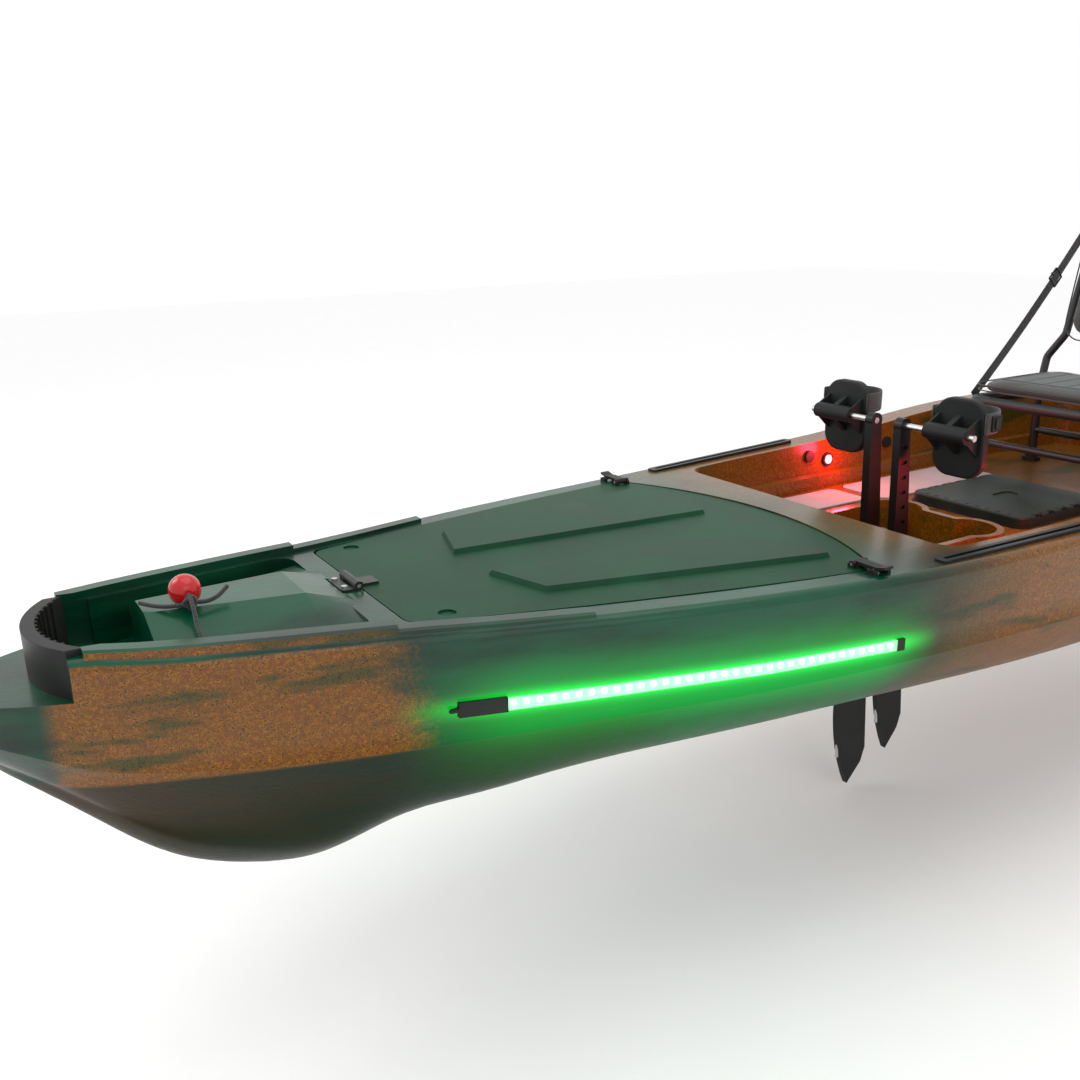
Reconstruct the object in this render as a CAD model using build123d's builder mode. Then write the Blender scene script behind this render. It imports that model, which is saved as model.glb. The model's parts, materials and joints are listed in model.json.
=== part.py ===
from build123d import *

import math
import os

# A sit-on-top pedal kayak with a fin drive: hull, bow hatch, tackle hatch, drive, seat, lights and rudder.
#
# Millimetres. +X runs to the bow, +Y to port and +Z up. The origin is on the flat of the keel at mid-length.



os.makedirs("parts", exist_ok=True)

# Overall sizes of the hull
LENGTH = 3700.0
BEAM = 890.0
WALL = 5.5
GUNWALE_RADIUS = 14.0

# Deck features, as distances along the hull
NOSE_X = LENGTH / 2
HATCH_FRONT_X = 0.703 * NOSE_X
HATCH_SIDE_END_X = 0.316 * NOSE_X
HATCH_AFT_X = 0.262 * NOSE_X
COCKPIT_FRONT_X = 0.222 * NOSE_X
COCKPIT_AFT_X = -0.505 * NOSE_X
TANKWELL_FRONT_X = -0.568 * NOSE_X
TANKWELL_AFT_X = -0.897 * NOSE_X
TRAY_FRONT_X = 0.905 * NOSE_X
TRAY_AFT_X = 0.722 * NOSE_X

# Keel: how far forward its flat reaches, and how far the forefoot may drop below it
FLAT_FRONT_X = 0.595 * NOSE_X
FOREFOOT_DEPTH = 100.0
COCKPIT_FLOOR_Z = 200.0
LEDGE_Z = 232.0
TANKWELL_FLOOR_Z = 175.0
TRAY_FLOOR_Z = 268.0
TRAY_INSET = 38.0
GUNWALE_WIDTH = 66.0
RECESS_TOP = 260.0

# Bow hatch
HATCH_INSET = 50.0
HATCH_GAP = 3.0
HATCH_LEDGE = 24.0
LID_SKIN = 5.0
LID_RIM_DEPTH = 14.0
LID_RIM_WIDTH = 9.0
LID_PAD_HEIGHT = 7.0
LID_PAD_FRONT = -190.0
LID_PAD_AFT = -706.0
LID_NOTCH_X = -62.0
LID_NOTCH_Y = 178.0
LID_NOTCH_RADIUS = 13.0
LID_NOTCH_DEPTH = 3.0
SEAL_HEIGHT = 2.0
HINGE_PIN_RADIUS = 3.0
HINGE_WIDTH = 62.0
HINGE_SEAT_LENGTH = 38.0
LATCH_WIDTH = 38.0

# Raised block and handle at the bow
BLOCK_FRONT_X = 1605.0
# Sections of the block: place, half width and height of its eaves, half width and height of its crest
BLOCK_SECTIONS = (
    (1330.0, 150.0, 319.0, 66.0, 325.0),
    (1395.0, 135.0, 318.0, 55.0, 345.0),
    (BLOCK_FRONT_X, 85.0, 327.0, 28.0, 352.0),
)
HANDLE_CENTRE_X = NOSE_X - 271.0
HANDLE_RADIUS = 171.0
HANDLE_THICK = 18.0
HANDLE_HALF = 108.0
HANDLE_AFT_X = 1655.0
HANDLE_LOW_Z = 276.0
HANDLE_HIGH_Z = 352.0
HANDLE_RIBS = 13
NOSE_STEP_X = 1712.0
NOSE_DECK_Z = 288.0
BALL_RADIUS = 21.5
CORD_RADIUS = 3.0

# Gear tracks
TRACK_WIDTH = 24.0
TRACK_HEIGHT = 9.0
TRACK_INSET = 30.0
TRACK_SLOT = 8.0
TRACK_FRONT_X = 475.0
TRACK_AFT_X = 44.0

# Light strip on each side
STRIP_FRONT_X = 1194.0
STRIP_AFT_X = 570.0
STRIP_FRONT_Z = 204.0
STRIP_AFT_Z = 187.0
STRIP_HEIGHT = 18.0
STRIP_DEPTH = 6.0
STRIP_SINK = 1.5
STRIP_CHIPS = 34

# Drive
DRIVE_X = 165.0
WELL_LENGTH = 390.0
WELL_HALF = 150.0
WELL_LOBE = 58.0
WELL_FLOOR_Z = 110.0
WELL_RIM = 14.0
SLOT_LENGTH = 270.0
SLOT_WIDTH = 62.0
CRANK_Z = 187.0
AXLE_RADIUS = 8.0
PEDAL_AXLE_RADIUS = 6.0
PEDAL_WIDTH = 112.0
PEDAL_Y = 140.0
PEDAL_Z = 432.0
FIN_AXIS_Z = -30.0
FIN_THICK = 12.0
RUNNING_GAP = 0.05

# Tackle bin under the cockpit floor
BIN_X = (-352.0, -92.0)
BIN_Y = (-132.0, 132.0)
BIN_FLOOR_Z = 72.0

# Seat
SEAT_FRONT_X = -385.0
SEAT_BACK_X = -700.0
SEAT_HALF = 235.0
SEAT_Z = 375.0
SEAT_TUBE = 12.5
BACK_TOP_Z = 860.0
BACK_LEAN = 12.0
SEAT_CUSHION_HEIGHT = 36.0
BACK_CUSHION_LOW = 100.0

# Rudder
RUDDER_PIN_RADIUS = 5.0

# Each station is: place along the hull, keel height, bilge, chine and gunwale as (share of half beam, height)
STATIONS = (
    (-0.995, 128, (0.10, 150), (0.19, 205), (0.235, 272)),
    (-0.950, 62, (0.20, 92), (0.34, 172), (0.405, 280)),
    (-0.865, 18, (0.34, 48), (0.50, 155), (0.575, 291)),
    (-0.730, 1, (0.50, 26), (0.695, 148), (0.755, 311)),
    (-0.570, -4, (0.61, 18), (0.845, 148), (0.900, 334)),
    (-0.405, -5, (0.675, 15), (0.930, 150), (0.978, 346)),
    (-0.215, -5, (0.69, 14), (0.962, 150), (1.000, 336)),
    (-0.1325, -5, (0.685, 14), (0.9585, 150.5), (0.994, 324.5)),
    (-0.050, -5, (0.68, 14), (0.955, 151), (0.988, 313)),
    (0.120, -5, (0.62, 14), (0.930, 151), (0.966, 304)),
    (0.275, -5, (0.52, 14), (0.872, 151), (0.905, 302)),
    (0.430, -5, (0.44, 16), (0.775, 151), (0.808, 307)),
    (0.580, -5, (0.37, 17), (0.630, 152), (0.674, 315)),
    (0.650, -10, (0.33, 10), (0.560, 153), (0.593, 319)),
    (0.710, -28, (0.285, 0), (0.498, 154), (0.522, 324)),
    (0.770, -56, (0.240, -28), (0.428, 156), (0.468, 329)),
    (0.820, -44, (0.195, -12), (0.365, 160), (0.419, 333)),
    (0.870, -4, (0.150, 28), (0.298, 168), (0.368, 337)),
    (0.925, 88, (0.105, 114), (0.226, 190), (0.285, 343)),
    (0.958, 148, (0.080, 168), (0.180, 218), (0.220, 334)),
    (0.984, 196, (0.045, 206), (0.112, 236), (0.140, 312)),
    (0.998, 232, (0.018, 236), (0.045, 250), (0.058, 286)),
)


def between(share, low, high):
    """A value part of the way from low to high."""
    return low + (high - low) * share


def station_at(x):
    """The hull's station at x, on straight lines between the stations."""
    along = x / NOSE_X
    low = STATIONS[0]
    high = STATIONS[1]
    for low, high in zip(STATIONS, STATIONS[1:]):
        if along <= high[0]:
            break
    share = (along - low[0]) / (high[0] - low[0])
    keel = between(share, low[1], high[1])
    lines = []
    for below, above in zip(low[2:], high[2:]):
        half = between(share, below[0], above[0]) * BEAM / 2
        lines.append((half, between(share, below[1], above[1])))
    return keel, lines


def gunwale_half(x):
    """Half the hull's width at its gunwale."""
    return station_at(x)[1][2][0]


def sheer(x):
    """The height of the gunwale."""
    return station_at(x)[1][2][1]


def side_half(x, z):
    """Half the hull's width on its side panel, at height z."""
    chine, gunwale = station_at(x)[1][1:]
    return between((z - chine[1]) / (gunwale[1] - chine[1]), chine[0], gunwale[0])


def bottom_curve(place):
    """The port half of the hull's bottom at one station, from the keel out to the chine."""
    half = BEAM / 2
    bilge = Vector(place[2][0] * half, place[2][1])
    chine = Vector(place[3][0] * half, place[3][1])
    return Spline((0, place[1]), (bilge.X * 0.62, place[1] + 1), bilge, chine, tangents=((1, 0), (0.6, 1)))


def section(place):
    """The hull's outer cross-section at one station, as a face."""
    half = BEAM / 2
    chine = Vector(place[3][0] * half, place[3][1])
    gunwale = Vector(place[4][0] * half, place[4][1])
    corner = min(GUNWALE_RADIUS, gunwale.X / 2)
    with BuildSketch(station_plane(place[0] * NOSE_X)) as face:
        with BuildLine():
            add(bottom_curve(place))
            Line(chine, gunwale - Vector(0, corner))
            edge = RadiusArc(gunwale - Vector(0, corner), gunwale - Vector(corner, 0), -corner)
            Line(edge @ 1, (0, gunwale.Y))
            mirror(about=Plane.YZ)
        make_face()
    return face.sketch


def station_plane(x):
    """The cross-section plane at x, drawn with port to the right and up as up."""
    return Plane(origin=(x, 0, 0), x_dir=(0, 1, 0), z_dir=(1, 0, 0))


def inner_section(place):
    """The inside of the hull's wall at one station, as a straight-sided face."""
    half = BEAM / 2
    chine = (place[3][0] * half - WALL, place[3][1] + WALL / 3)
    gunwale = (place[4][0] * half - WALL, place[4][1] - WALL)
    corner = min(GUNWALE_RADIUS, gunwale[0] / 2) / 3
    bottom = bottom_curve(place)
    inside = []
    for share in (0.50, 0.64, 0.78, 0.90):
        spot = bottom @ share
        heading = bottom % share
        inside.append((spot.X - WALL * heading.Y, spot.Y + WALL * heading.X))
    with BuildSketch(station_plane(place[0] * NOSE_X)) as face:
        with BuildLine():
            Polyline(
                (0, place[1] + WALL),
                *inside,
                chine,
                (gunwale[0], gunwale[1] - corner),
                (gunwale[0] - corner, gunwale[1]),
                (0, gunwale[1]),
            )
            mirror(about=Plane.YZ)
        make_face()
    return face.sketch


def deck_plan(front_x, aft_x, inset, height, corner):
    """A flat outline that follows the gunwales between two places, as a face at one height."""
    count = 6
    side = []
    for step in range(count + 1):
        x = between(step / count, aft_x, front_x)
        side.append((x, gunwale_half(x) - inset))
    with BuildSketch(Plane.XY.offset(height)) as face:
        with BuildLine():
            port = Spline(*side)
            starboard = mirror(port, about=Plane.XZ)
            Line(port @ 0, (aft_x, inset - gunwale_half(aft_x)))
            Line(port @ 1, (front_x, inset - gunwale_half(front_x)))
        make_face()
        fillet(face.vertices(), corner)
    return face.sketch


def deck_recess(front_x, aft_x, inset, floor_z, slope, corner, grow):
    """A sloping-walled recess in the deck, from its floor up through the sheer. Grow adds the wall round it."""
    with BuildPart() as recess:
        add(deck_plan(front_x - slope + grow, aft_x + slope - grow, inset + slope - grow, floor_z - grow, corner))
        add(deck_plan(front_x + grow, aft_x - grow, inset - grow, floor_z + RECESS_TOP, corner + slope / 2))
        loft(ruled=True)
    return recess.part


def block(x_range, y_range, z_range, corner=0.0):
    """A block with upright edges rounded, given by its ranges along X, Y and Z."""
    with BuildPart() as solid:
        with BuildSketch(Plane.XY.offset(z_range[0])):
            with Locations(((x_range[0] + x_range[1]) / 2, (y_range[0] + y_range[1]) / 2)):
                if corner > 0:
                    RectangleRounded(x_range[1] - x_range[0], y_range[1] - y_range[0], corner)
                else:
                    Rectangle(x_range[1] - x_range[0], y_range[1] - y_range[0])
        extrude(amount=z_range[1] - z_range[0])
    return solid.part


def well_outline(grow):
    """The drive well's lobed outline on the cockpit floor."""
    with BuildSketch(Plane.XY.offset(0)) as face:
        with Locations((DRIVE_X, 0)):
            RectangleRounded(WELL_LENGTH - WELL_LOBE + 2 * grow, 2 * WELL_HALF - 30 + 2 * grow, 40)
        with Locations((DRIVE_X, 0)):
            with GridLocations(WELL_LENGTH - 2 * WELL_LOBE, 2 * WELL_HALF - 2 * WELL_LOBE, 2, 2):
                Circle(WELL_LOBE + grow)
    return face.sketch


def well(grow):
    """The drive well: a lobed pocket with a slot in its floor that runs out through the keel."""
    with BuildPart() as cut:
        with BuildSketch(Plane.XY.offset(WELL_FLOOR_Z - grow)):
            add(well_outline(grow).moved(Location((0, 0, WELL_FLOOR_Z - grow))))
        extrude(amount=RECESS_TOP)
        with BuildSketch(Plane.XY.offset(-40)):
            with Locations((DRIVE_X, 0)):
                RectangleRounded(SLOT_LENGTH + 2 * grow, SLOT_WIDTH + 2 * grow, SLOT_WIDTH / 2 - 1)
        extrude(amount=40 + WELL_FLOOR_Z + 20)
    return cut.part


def rail(x_from, x_to, inset_range, z_below, height, count=6):
    """A straight-faceted ridge along the port gunwale, from z_below under the sheer to height above it."""
    with BuildPart() as ridge:
        for step in range(count + 1):
            x = between(step / count, x_from, x_to)
            outer = gunwale_half(x) - inset_range[0]
            inner = gunwale_half(x) - inset_range[1]
            low = sheer(x) - z_below
            high = sheer(x) + height
            with BuildSketch(station_plane(x)):
                with BuildLine():
                    Polyline((inner, low), (outer, low), (outer, high - 3), (outer - 4, high), (inner, high), close=True)
                make_face()
        loft(ruled=True)
    return ridge.part


def strip_band(x_from, x_to, depth_range, height, count=8):
    """A band along the port side panel at the light strip's height, from one depth outside the side to another."""
    with BuildPart() as band:
        for step in range(count + 1):
            x = between(step / count, x_from, x_to)
            z = strip_z(x)
            face = side_half(x, z)
            with BuildSketch(station_plane(x)):
                with Locations((face + (depth_range[0] + depth_range[1]) / 2, z)):
                    Rectangle(depth_range[1] - depth_range[0], height)
        loft(ruled=True)
    return band.part


def both_sides(piece):
    """A port piece joined with its starboard mirror image, as one part of separate solids."""
    with BuildPart() as pair:
        add(piece)
        mirror(about=Plane.XZ)
    return pair.part


def strip_z(x):
    """The height of the light strip's middle at x."""
    share = (x - STRIP_AFT_X) / (STRIP_FRONT_X - STRIP_AFT_X)
    return between(share, STRIP_AFT_Z, STRIP_FRONT_Z)


def under_keel(rise):
    """The space under the keel's flat, raised by rise. Its top drops away ahead of the flat, under the forefoot."""
    with BuildPart() as below:
        with BuildSketch(Plane.XZ):
            with BuildLine():
                Polyline(
                    (-LENGTH, rise),
                    (FLAT_FRONT_X, rise),
                    (FLAT_FRONT_X + 3 * FOREFOOT_DEPTH, rise - FOREFOOT_DEPTH),
                    (FLAT_FRONT_X + 3 * FOREFOOT_DEPTH, -2 * FOREFOOT_DEPTH),
                    (-LENGTH, -2 * FOREFOOT_DEPTH),
                    close=True,
                )
            make_face()
        extrude(amount=BEAM, both=True)
    return below.part


def block_form(shrink):
    """The raised block in the bow tray, a hipped form that runs into the deck behind it, drawn in by shrink."""
    base = TRAY_FLOOR_Z - WALL - shrink
    with BuildPart() as solid:
        for x, shoulder, shoulder_z, crest, crest_z in BLOCK_SECTIONS:
            side = shoulder - shrink
            eaves = shoulder_z - shrink
            ridge = crest_z - shrink
            with BuildSketch(station_plane(min(x, BLOCK_FRONT_X - shrink))):
                with BuildLine():
                    Polyline(
                        (-side, base),
                        (-side, eaves),
                        (-crest, ridge),
                        (crest, ridge),
                        (side, eaves),
                        (side, base),
                        close=True,
                    )
                make_face()
        loft(ruled=True)
    return solid.part


def handle_plan(radius):
    """The rounded front end of the bow tray inside a radius, between the gunwales, as a face."""
    with BuildSketch() as face:
        with Locations((HANDLE_CENTRE_X, 0)):
            Circle(radius)
        with Locations((HANDLE_AFT_X + HANDLE_RADIUS, 0)):
            Rectangle(2 * HANDLE_RADIUS, 2 * HANDLE_HALF, mode=Mode.INTERSECT)
    return face.sketch


def keep(piece, name):
    """Labels a finished piece and writes its STEP file."""
    piece.label = name
    export_step(piece, f"parts/{name}.step")


with BuildPart() as outer_form:
    for place in STATIONS:
        add(section(place))
    loft()
    add(under_keel(0), mode=Mode.SUBTRACT)

with BuildPart() as inner_form:
    for place in STATIONS[2:-3]:
        add(inner_section(place))
    loft(ruled=True)
    add(under_keel(WALL), mode=Mode.SUBTRACT)


def recesses(grow):
    """Every recess that is moulded into the deck, each grown by the wall when the void is cut."""
    return [
        deck_recess(COCKPIT_FRONT_X, COCKPIT_AFT_X, GUNWALE_WIDTH, LEDGE_Z, 12, 40, grow),
        deck_recess(COCKPIT_FRONT_X - 8, COCKPIT_AFT_X + 20, GUNWALE_WIDTH + 26, COCKPIT_FLOOR_Z, 12, 40, grow),
        deck_recess(TANKWELL_FRONT_X, TANKWELL_AFT_X, 58, TANKWELL_FLOOR_Z, 14, 40, grow),
        deck_recess(TRAY_FRONT_X, TRAY_AFT_X, TRAY_INSET, TRAY_FLOOR_Z, 10, 24, grow),
        well(grow),
        block(
            (BIN_X[0] - grow, BIN_X[1] + grow),
            (BIN_Y[0] - grow, BIN_Y[1] + grow),
            (BIN_FLOOR_Z - grow, COCKPIT_FLOOR_Z + RECESS_TOP),
            20,
        ),
    ]


# Bow hatch: the lid lies in a plane that follows the sheer
HATCH_RISE = sheer(HATCH_FRONT_X) - sheer(HATCH_SIDE_END_X)
HATCH_TILT = math.degrees(math.atan2(HATCH_RISE, HATCH_FRONT_X - HATCH_SIDE_END_X))
HATCH_PLANE = Plane(origin=(HATCH_FRONT_X, 0, sheer(HATCH_FRONT_X) - 1)).rotated((0, -HATCH_TILT, 0))


def hatch_outline(shrink):
    """The bow hatch's outline in its own plane, drawn in by shrink."""
    sides = []
    for step in range(5):
        x = between(step / 4, HATCH_SIDE_END_X, HATCH_FRONT_X)
        sides.append((x - HATCH_FRONT_X, gunwale_half(x) - HATCH_INSET - shrink))
    first = sides[0]
    last = sides[-1]
    sides[0] = (first[0] + shrink, first[1])
    sides[-1] = (last[0] - shrink, last[1])
    with BuildSketch() as face:
        with BuildLine():
            port = Spline(*sides)
            mirror(port, about=Plane.XZ)
            Line((sides[-1][0], sides[-1][1]), (sides[-1][0], -sides[-1][1]))
            ThreePointArc(sides[0], (HATCH_AFT_X - HATCH_FRONT_X + shrink, 0), (sides[0][0], -sides[0][1]))
        make_face()
        fillet(face.vertices(), 22)
    return face.sketch


def hatch_prism(shrink, low, high):
    """A straight prism of the hatch's outline between two heights above the lid's top."""
    with BuildPart() as prism:
        with BuildSketch(HATCH_PLANE.offset(low)):
            add(hatch_outline(shrink))
        extrude(amount=high - low)
    return prism.part


HATCH_SEAT = LID_RIM_DEPTH + SEAL_HEIGHT


def track_plane(side):
    """The plane under one gear track, with its x axis along the track."""
    aft = Vector(TRACK_AFT_X, side * (gunwale_half(TRACK_AFT_X) - TRACK_INSET), sheer(TRACK_AFT_X) - 5)
    front = Vector(TRACK_FRONT_X, side * (gunwale_half(TRACK_FRONT_X) - TRACK_INSET), sheer(TRACK_FRONT_X) - 5)
    along = front - aft
    return Plane(origin=(aft + front) / 2, x_dir=along, z_dir=Vector(-along.Z, 0, along.X)), along.length


def track_blank(side):
    """The block of space that one gear track fills."""
    plane, length = track_plane(side)
    with BuildPart() as blank:
        with BuildSketch(plane):
            RectangleRounded(length, TRACK_WIDTH, 6)
        extrude(amount=TRACK_HEIGHT)
    return blank.part


# Each span of a light strip's channel: from, to and how much higher than the sleeve it is
STRIP_SPANS = (
    (STRIP_AFT_X, STRIP_FRONT_X, 0),
    (STRIP_FRONT_X, STRIP_FRONT_X + 66, 4),
    (STRIP_AFT_X - 14, STRIP_AFT_X, 2),
)

with BuildPart() as void:
    add(inner_form.part)
    for cut in recesses(WALL):
        add(cut, mode=Mode.SUBTRACT)
    add(hatch_prism(-HATCH_GAP - WALL, -HATCH_SEAT - WALL, 60), mode=Mode.SUBTRACT)
    add(
        block(
            (HANDLE_AFT_X - WALL, NOSE_X),
            (-HANDLE_HALF - WALL, HANDLE_HALF + WALL),
            (HANDLE_LOW_Z - WALL, HANDLE_LOW_Z + RECESS_TOP),
        ),
        mode=Mode.SUBTRACT,
    )
    add(block_form(WALL))

with BuildPart() as hull:
    add(outer_form.part)
    for cut in recesses(0):
        add(cut, mode=Mode.SUBTRACT)
    # the raised block in the bow tray, hollow from below
    add(block_form(0))
    # the drive well's raised rim
    with BuildSketch(Plane.XY.offset(COCKPIT_FLOOR_Z - WALL)):
        add(well_outline(WELL_RIM).moved(Location((0, 0, COCKPIT_FLOOR_Z - WALL))))
        add(well_outline(0).moved(Location((0, 0, COCKPIT_FLOOR_Z - WALL))), mode=Mode.SUBTRACT)
    extrude(amount=WALL + WELL_RIM)
    # stepped rails along the gunwales towards the bow
    for x_from, x_to, height in ((TRAY_AFT_X - 6, TRAY_FRONT_X + 20, 12), (1070, TRAY_AFT_X - 6, 6)):
        ridge = rail(x_from, x_to, (7, 33), 8, height)
        add(ridge)
        add(mirror(ridge, about=Plane.XZ, mode=Mode.PRIVATE))
    add(hatch_prism(-HATCH_GAP, -HATCH_SEAT, 60), mode=Mode.SUBTRACT)
    add(hatch_prism(HATCH_LEDGE, -HATCH_SEAT - WALL - 12, 0), mode=Mode.SUBTRACT)
    # the pocket behind the bow handle, and the lower deck of the nose in front of it
    with BuildSketch(Plane.XY.offset(HANDLE_LOW_Z)):
        add(handle_plan(HANDLE_RADIUS).moved(Location((0, 0, HANDLE_LOW_Z))))
    extrude(amount=RECESS_TOP, mode=Mode.SUBTRACT)
    with BuildSketch(Plane.XY.offset(NOSE_DECK_Z)):
        with Locations(((NOSE_STEP_X + NOSE_X) / 2 + 10, 0)):
            Rectangle(NOSE_X - NOSE_STEP_X + 20, BEAM)
        with Locations((HANDLE_CENTRE_X, 0)):
            Circle(HANDLE_RADIUS, mode=Mode.SUBTRACT)
    extrude(amount=RECESS_TOP, mode=Mode.SUBTRACT)
    # a flat seat for the hatch hinge, and pockets for the gear tracks and the light strips
    with BuildSketch(HATCH_PLANE):
        with Locations((HINGE_SEAT_LENGTH / 2 - HATCH_GAP, 0)):
            Rectangle(HINGE_SEAT_LENGTH, HINGE_WIDTH + 16)
    extrude(amount=40, mode=Mode.SUBTRACT)
    for side in (1, -1):
        add(track_blank(side), mode=Mode.SUBTRACT)
    for x_from, x_to, margin in STRIP_SPANS:
        channel = strip_band(x_from, x_to, (-STRIP_SINK, 20), STRIP_HEIGHT + margin)
        add(channel, mode=Mode.SUBTRACT)
        add(mirror(channel, about=Plane.XZ, mode=Mode.PRIVATE), mode=Mode.SUBTRACT)
    add(void.part, mode=Mode.SUBTRACT)

keep(hull.part, "hull")

# Bow hatch lid: a thin skin over a deep rim, with two raised pads on top
with BuildPart() as bow_lid:
    add(hatch_prism(0, -LID_RIM_DEPTH, 0))
    add(hatch_prism(LID_RIM_WIDTH, -LID_RIM_DEPTH, -LID_SKIN), mode=Mode.SUBTRACT)
    with BuildSketch(HATCH_PLANE):
        with BuildLine():
            Polyline(
                (LID_PAD_FRONT, 60),
                (LID_PAD_FRONT - 35, 172),
                (LID_PAD_AFT, 262),
                (LID_PAD_AFT - 38, 130),
                (LID_PAD_AFT, 50),
                close=True,
            )
        make_face()
        mirror(about=Plane.XZ)
    extrude(amount=LID_PAD_HEIGHT, taper=25)
    # round finger notches near the front corners
    with BuildSketch(HATCH_PLANE):
        with Locations((LID_NOTCH_X, LID_NOTCH_Y), (LID_NOTCH_X, -LID_NOTCH_Y)):
            Circle(LID_NOTCH_RADIUS)
    extrude(amount=-LID_NOTCH_DEPTH, mode=Mode.SUBTRACT)
keep(bow_lid.part, "bow_lid")

with BuildPart() as hatch_seal:
    with BuildSketch(HATCH_PLANE.offset(-HATCH_SEAT)):
        add(hatch_outline(1))
        add(hatch_outline(LID_RIM_WIDTH + 2), mode=Mode.SUBTRACT)
    extrude(amount=SEAL_HEIGHT)
keep(hatch_seal.part, "hatch_seal")

# Hatch hinge in the middle of the lid's front edge: bracket on the hull, leaf on the lid, pin in the bracket
HINGE_ALONG = 7.0
HINGE_UP = 7.0
hinge_spots = ((HINGE_ALONG, 0),)


def knuckles(width, bore, gap):
    """Round knuckles along Y on the hinge line, one for each hinge. Gap removes the middle for the leaf."""
    with BuildPart() as barrels:
        for along, across in hinge_spots:
            centre = HATCH_PLANE.from_local_coords(Vector(along, across, HINGE_UP))
            with Locations(Plane(origin=centre, x_dir=(1, 0, 0), z_dir=(0, 1, 0))):
                Cylinder(HINGE_UP, width)
                if bore > 0:
                    Cylinder(bore, width, mode=Mode.SUBTRACT)
                if gap > 0:
                    Cylinder(HINGE_UP + 1, gap, mode=Mode.SUBTRACT)
    return barrels.part


with BuildPart() as hinge_brackets:
    with BuildSketch(HATCH_PLANE):
        with Locations(*[(along + 14, across) for along, across in hinge_spots]):
            RectangleRounded(24, HINGE_WIDTH, 4)
    extrude(amount=4)
    add(knuckles(HINGE_WIDTH, 0, HINGE_WIDTH / 2 + 1))
    with BuildSketch(HATCH_PLANE):
        with Locations(*[(along, across) for along, across in hinge_spots]):
            Rectangle(2 * HINGE_UP + 4, HINGE_WIDTH / 2 + 1)
    extrude(amount=4, mode=Mode.SUBTRACT)
    for along, across in hinge_spots:
        centre = HATCH_PLANE.from_local_coords(Vector(along, across, HINGE_UP))
        with Locations(Plane(origin=centre, x_dir=(1, 0, 0), z_dir=(0, 1, 0))):
            Cylinder(HINGE_PIN_RADIUS, HINGE_WIDTH, mode=Mode.SUBTRACT)
keep(hinge_brackets.part, "hatch_hinge_brackets")

with BuildPart() as hinge_leaves:
    with BuildSketch(HATCH_PLANE):
        with Locations(*[(along - 19, across) for along, across in hinge_spots]):
            Rectangle(36, HINGE_WIDTH / 2)
    extrude(amount=4)
    add(knuckles(HINGE_WIDTH / 2, 0, 0))
    for along, across in hinge_spots:
        centre = HATCH_PLANE.from_local_coords(Vector(along, across, HINGE_UP))
        with Locations(Plane(origin=centre, x_dir=(1, 0, 0), z_dir=(0, 1, 0))):
            Cylinder(HINGE_PIN_RADIUS + RUNNING_GAP, HINGE_WIDTH, mode=Mode.SUBTRACT)
keep(hinge_leaves.part, "hatch_hinge_leaves")

with BuildPart() as hinge_pins:
    for along, across in hinge_spots:
        centre = HATCH_PLANE.from_local_coords(Vector(along, across, HINGE_UP))
        with Locations(Plane(origin=centre, x_dir=(1, 0, 0), z_dir=(0, 1, 0))):
            Cylinder(HINGE_PIN_RADIUS, HINGE_WIDTH)

with BuildPart() as deck_fasteners:
    with BuildSketch(HATCH_PLANE.offset(4)):
        for along, across in hinge_spots:
            with Locations((along + 19, across - 20), (along + 19, across + 20)):
                RegularPolygon(5, 6)
    extrude(amount=3.5)

# Latches: a lever on each side of the lid that drops its cross bar into a keeper on the gunwale
LATCH_X = HATCH_SIDE_END_X - 10 + LATCH_WIDTH / 2
LATCH_PIVOT_Y = gunwale_half(LATCH_X) - HATCH_INSET - 20
LATCH_BAR_Y = gunwale_half(LATCH_X) - HATCH_INSET + 21
LATCH_FOOT = HATCH_PLANE.from_local_coords(Vector(LATCH_X - HATCH_FRONT_X, 0, 0)).Z
LATCH_PIVOT_Z = LATCH_FOOT + 6.5
LATCH_PIN_RADIUS = 2.5

for side, name in ((1, "port"), (-1, "starboard")):
    bar = Vector(LATCH_X, side * LATCH_BAR_Y, LATCH_PIVOT_Z)
    across = Plane(origin=(LATCH_X, 0, 0), x_dir=(0, side, 0), z_dir=(side, 0, 0))
    with BuildPart() as latch:
        with BuildSketch(across.offset(-LATCH_WIDTH / 4)):
            with Locations((LATCH_PIVOT_Y, LATCH_PIVOT_Z)):
                Circle(5.5)
            with Locations(((LATCH_PIVOT_Y + LATCH_BAR_Y) / 2, LATCH_PIVOT_Z + 2.5)):
                Rectangle(LATCH_BAR_Y - LATCH_PIVOT_Y + 6, 5)
            with Locations((LATCH_BAR_Y + 11, LATCH_PIVOT_Z + 5)):
                Rectangle(16, 4, rotation=14)
            with Locations((LATCH_BAR_Y, LATCH_PIVOT_Z)):
                Circle(4)
            with Locations((LATCH_PIVOT_Y, LATCH_PIVOT_Z)):
                Circle(LATCH_PIN_RADIUS + RUNNING_GAP, mode=Mode.SUBTRACT)
        extrude(amount=LATCH_WIDTH / 2)
        with Locations(Plane(origin=bar, x_dir=(0, 1, 0), z_dir=(1, 0, 0))):
            Cylinder(3, LATCH_WIDTH - 4)
    keep(latch.part, f"latch_{name}")

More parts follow.
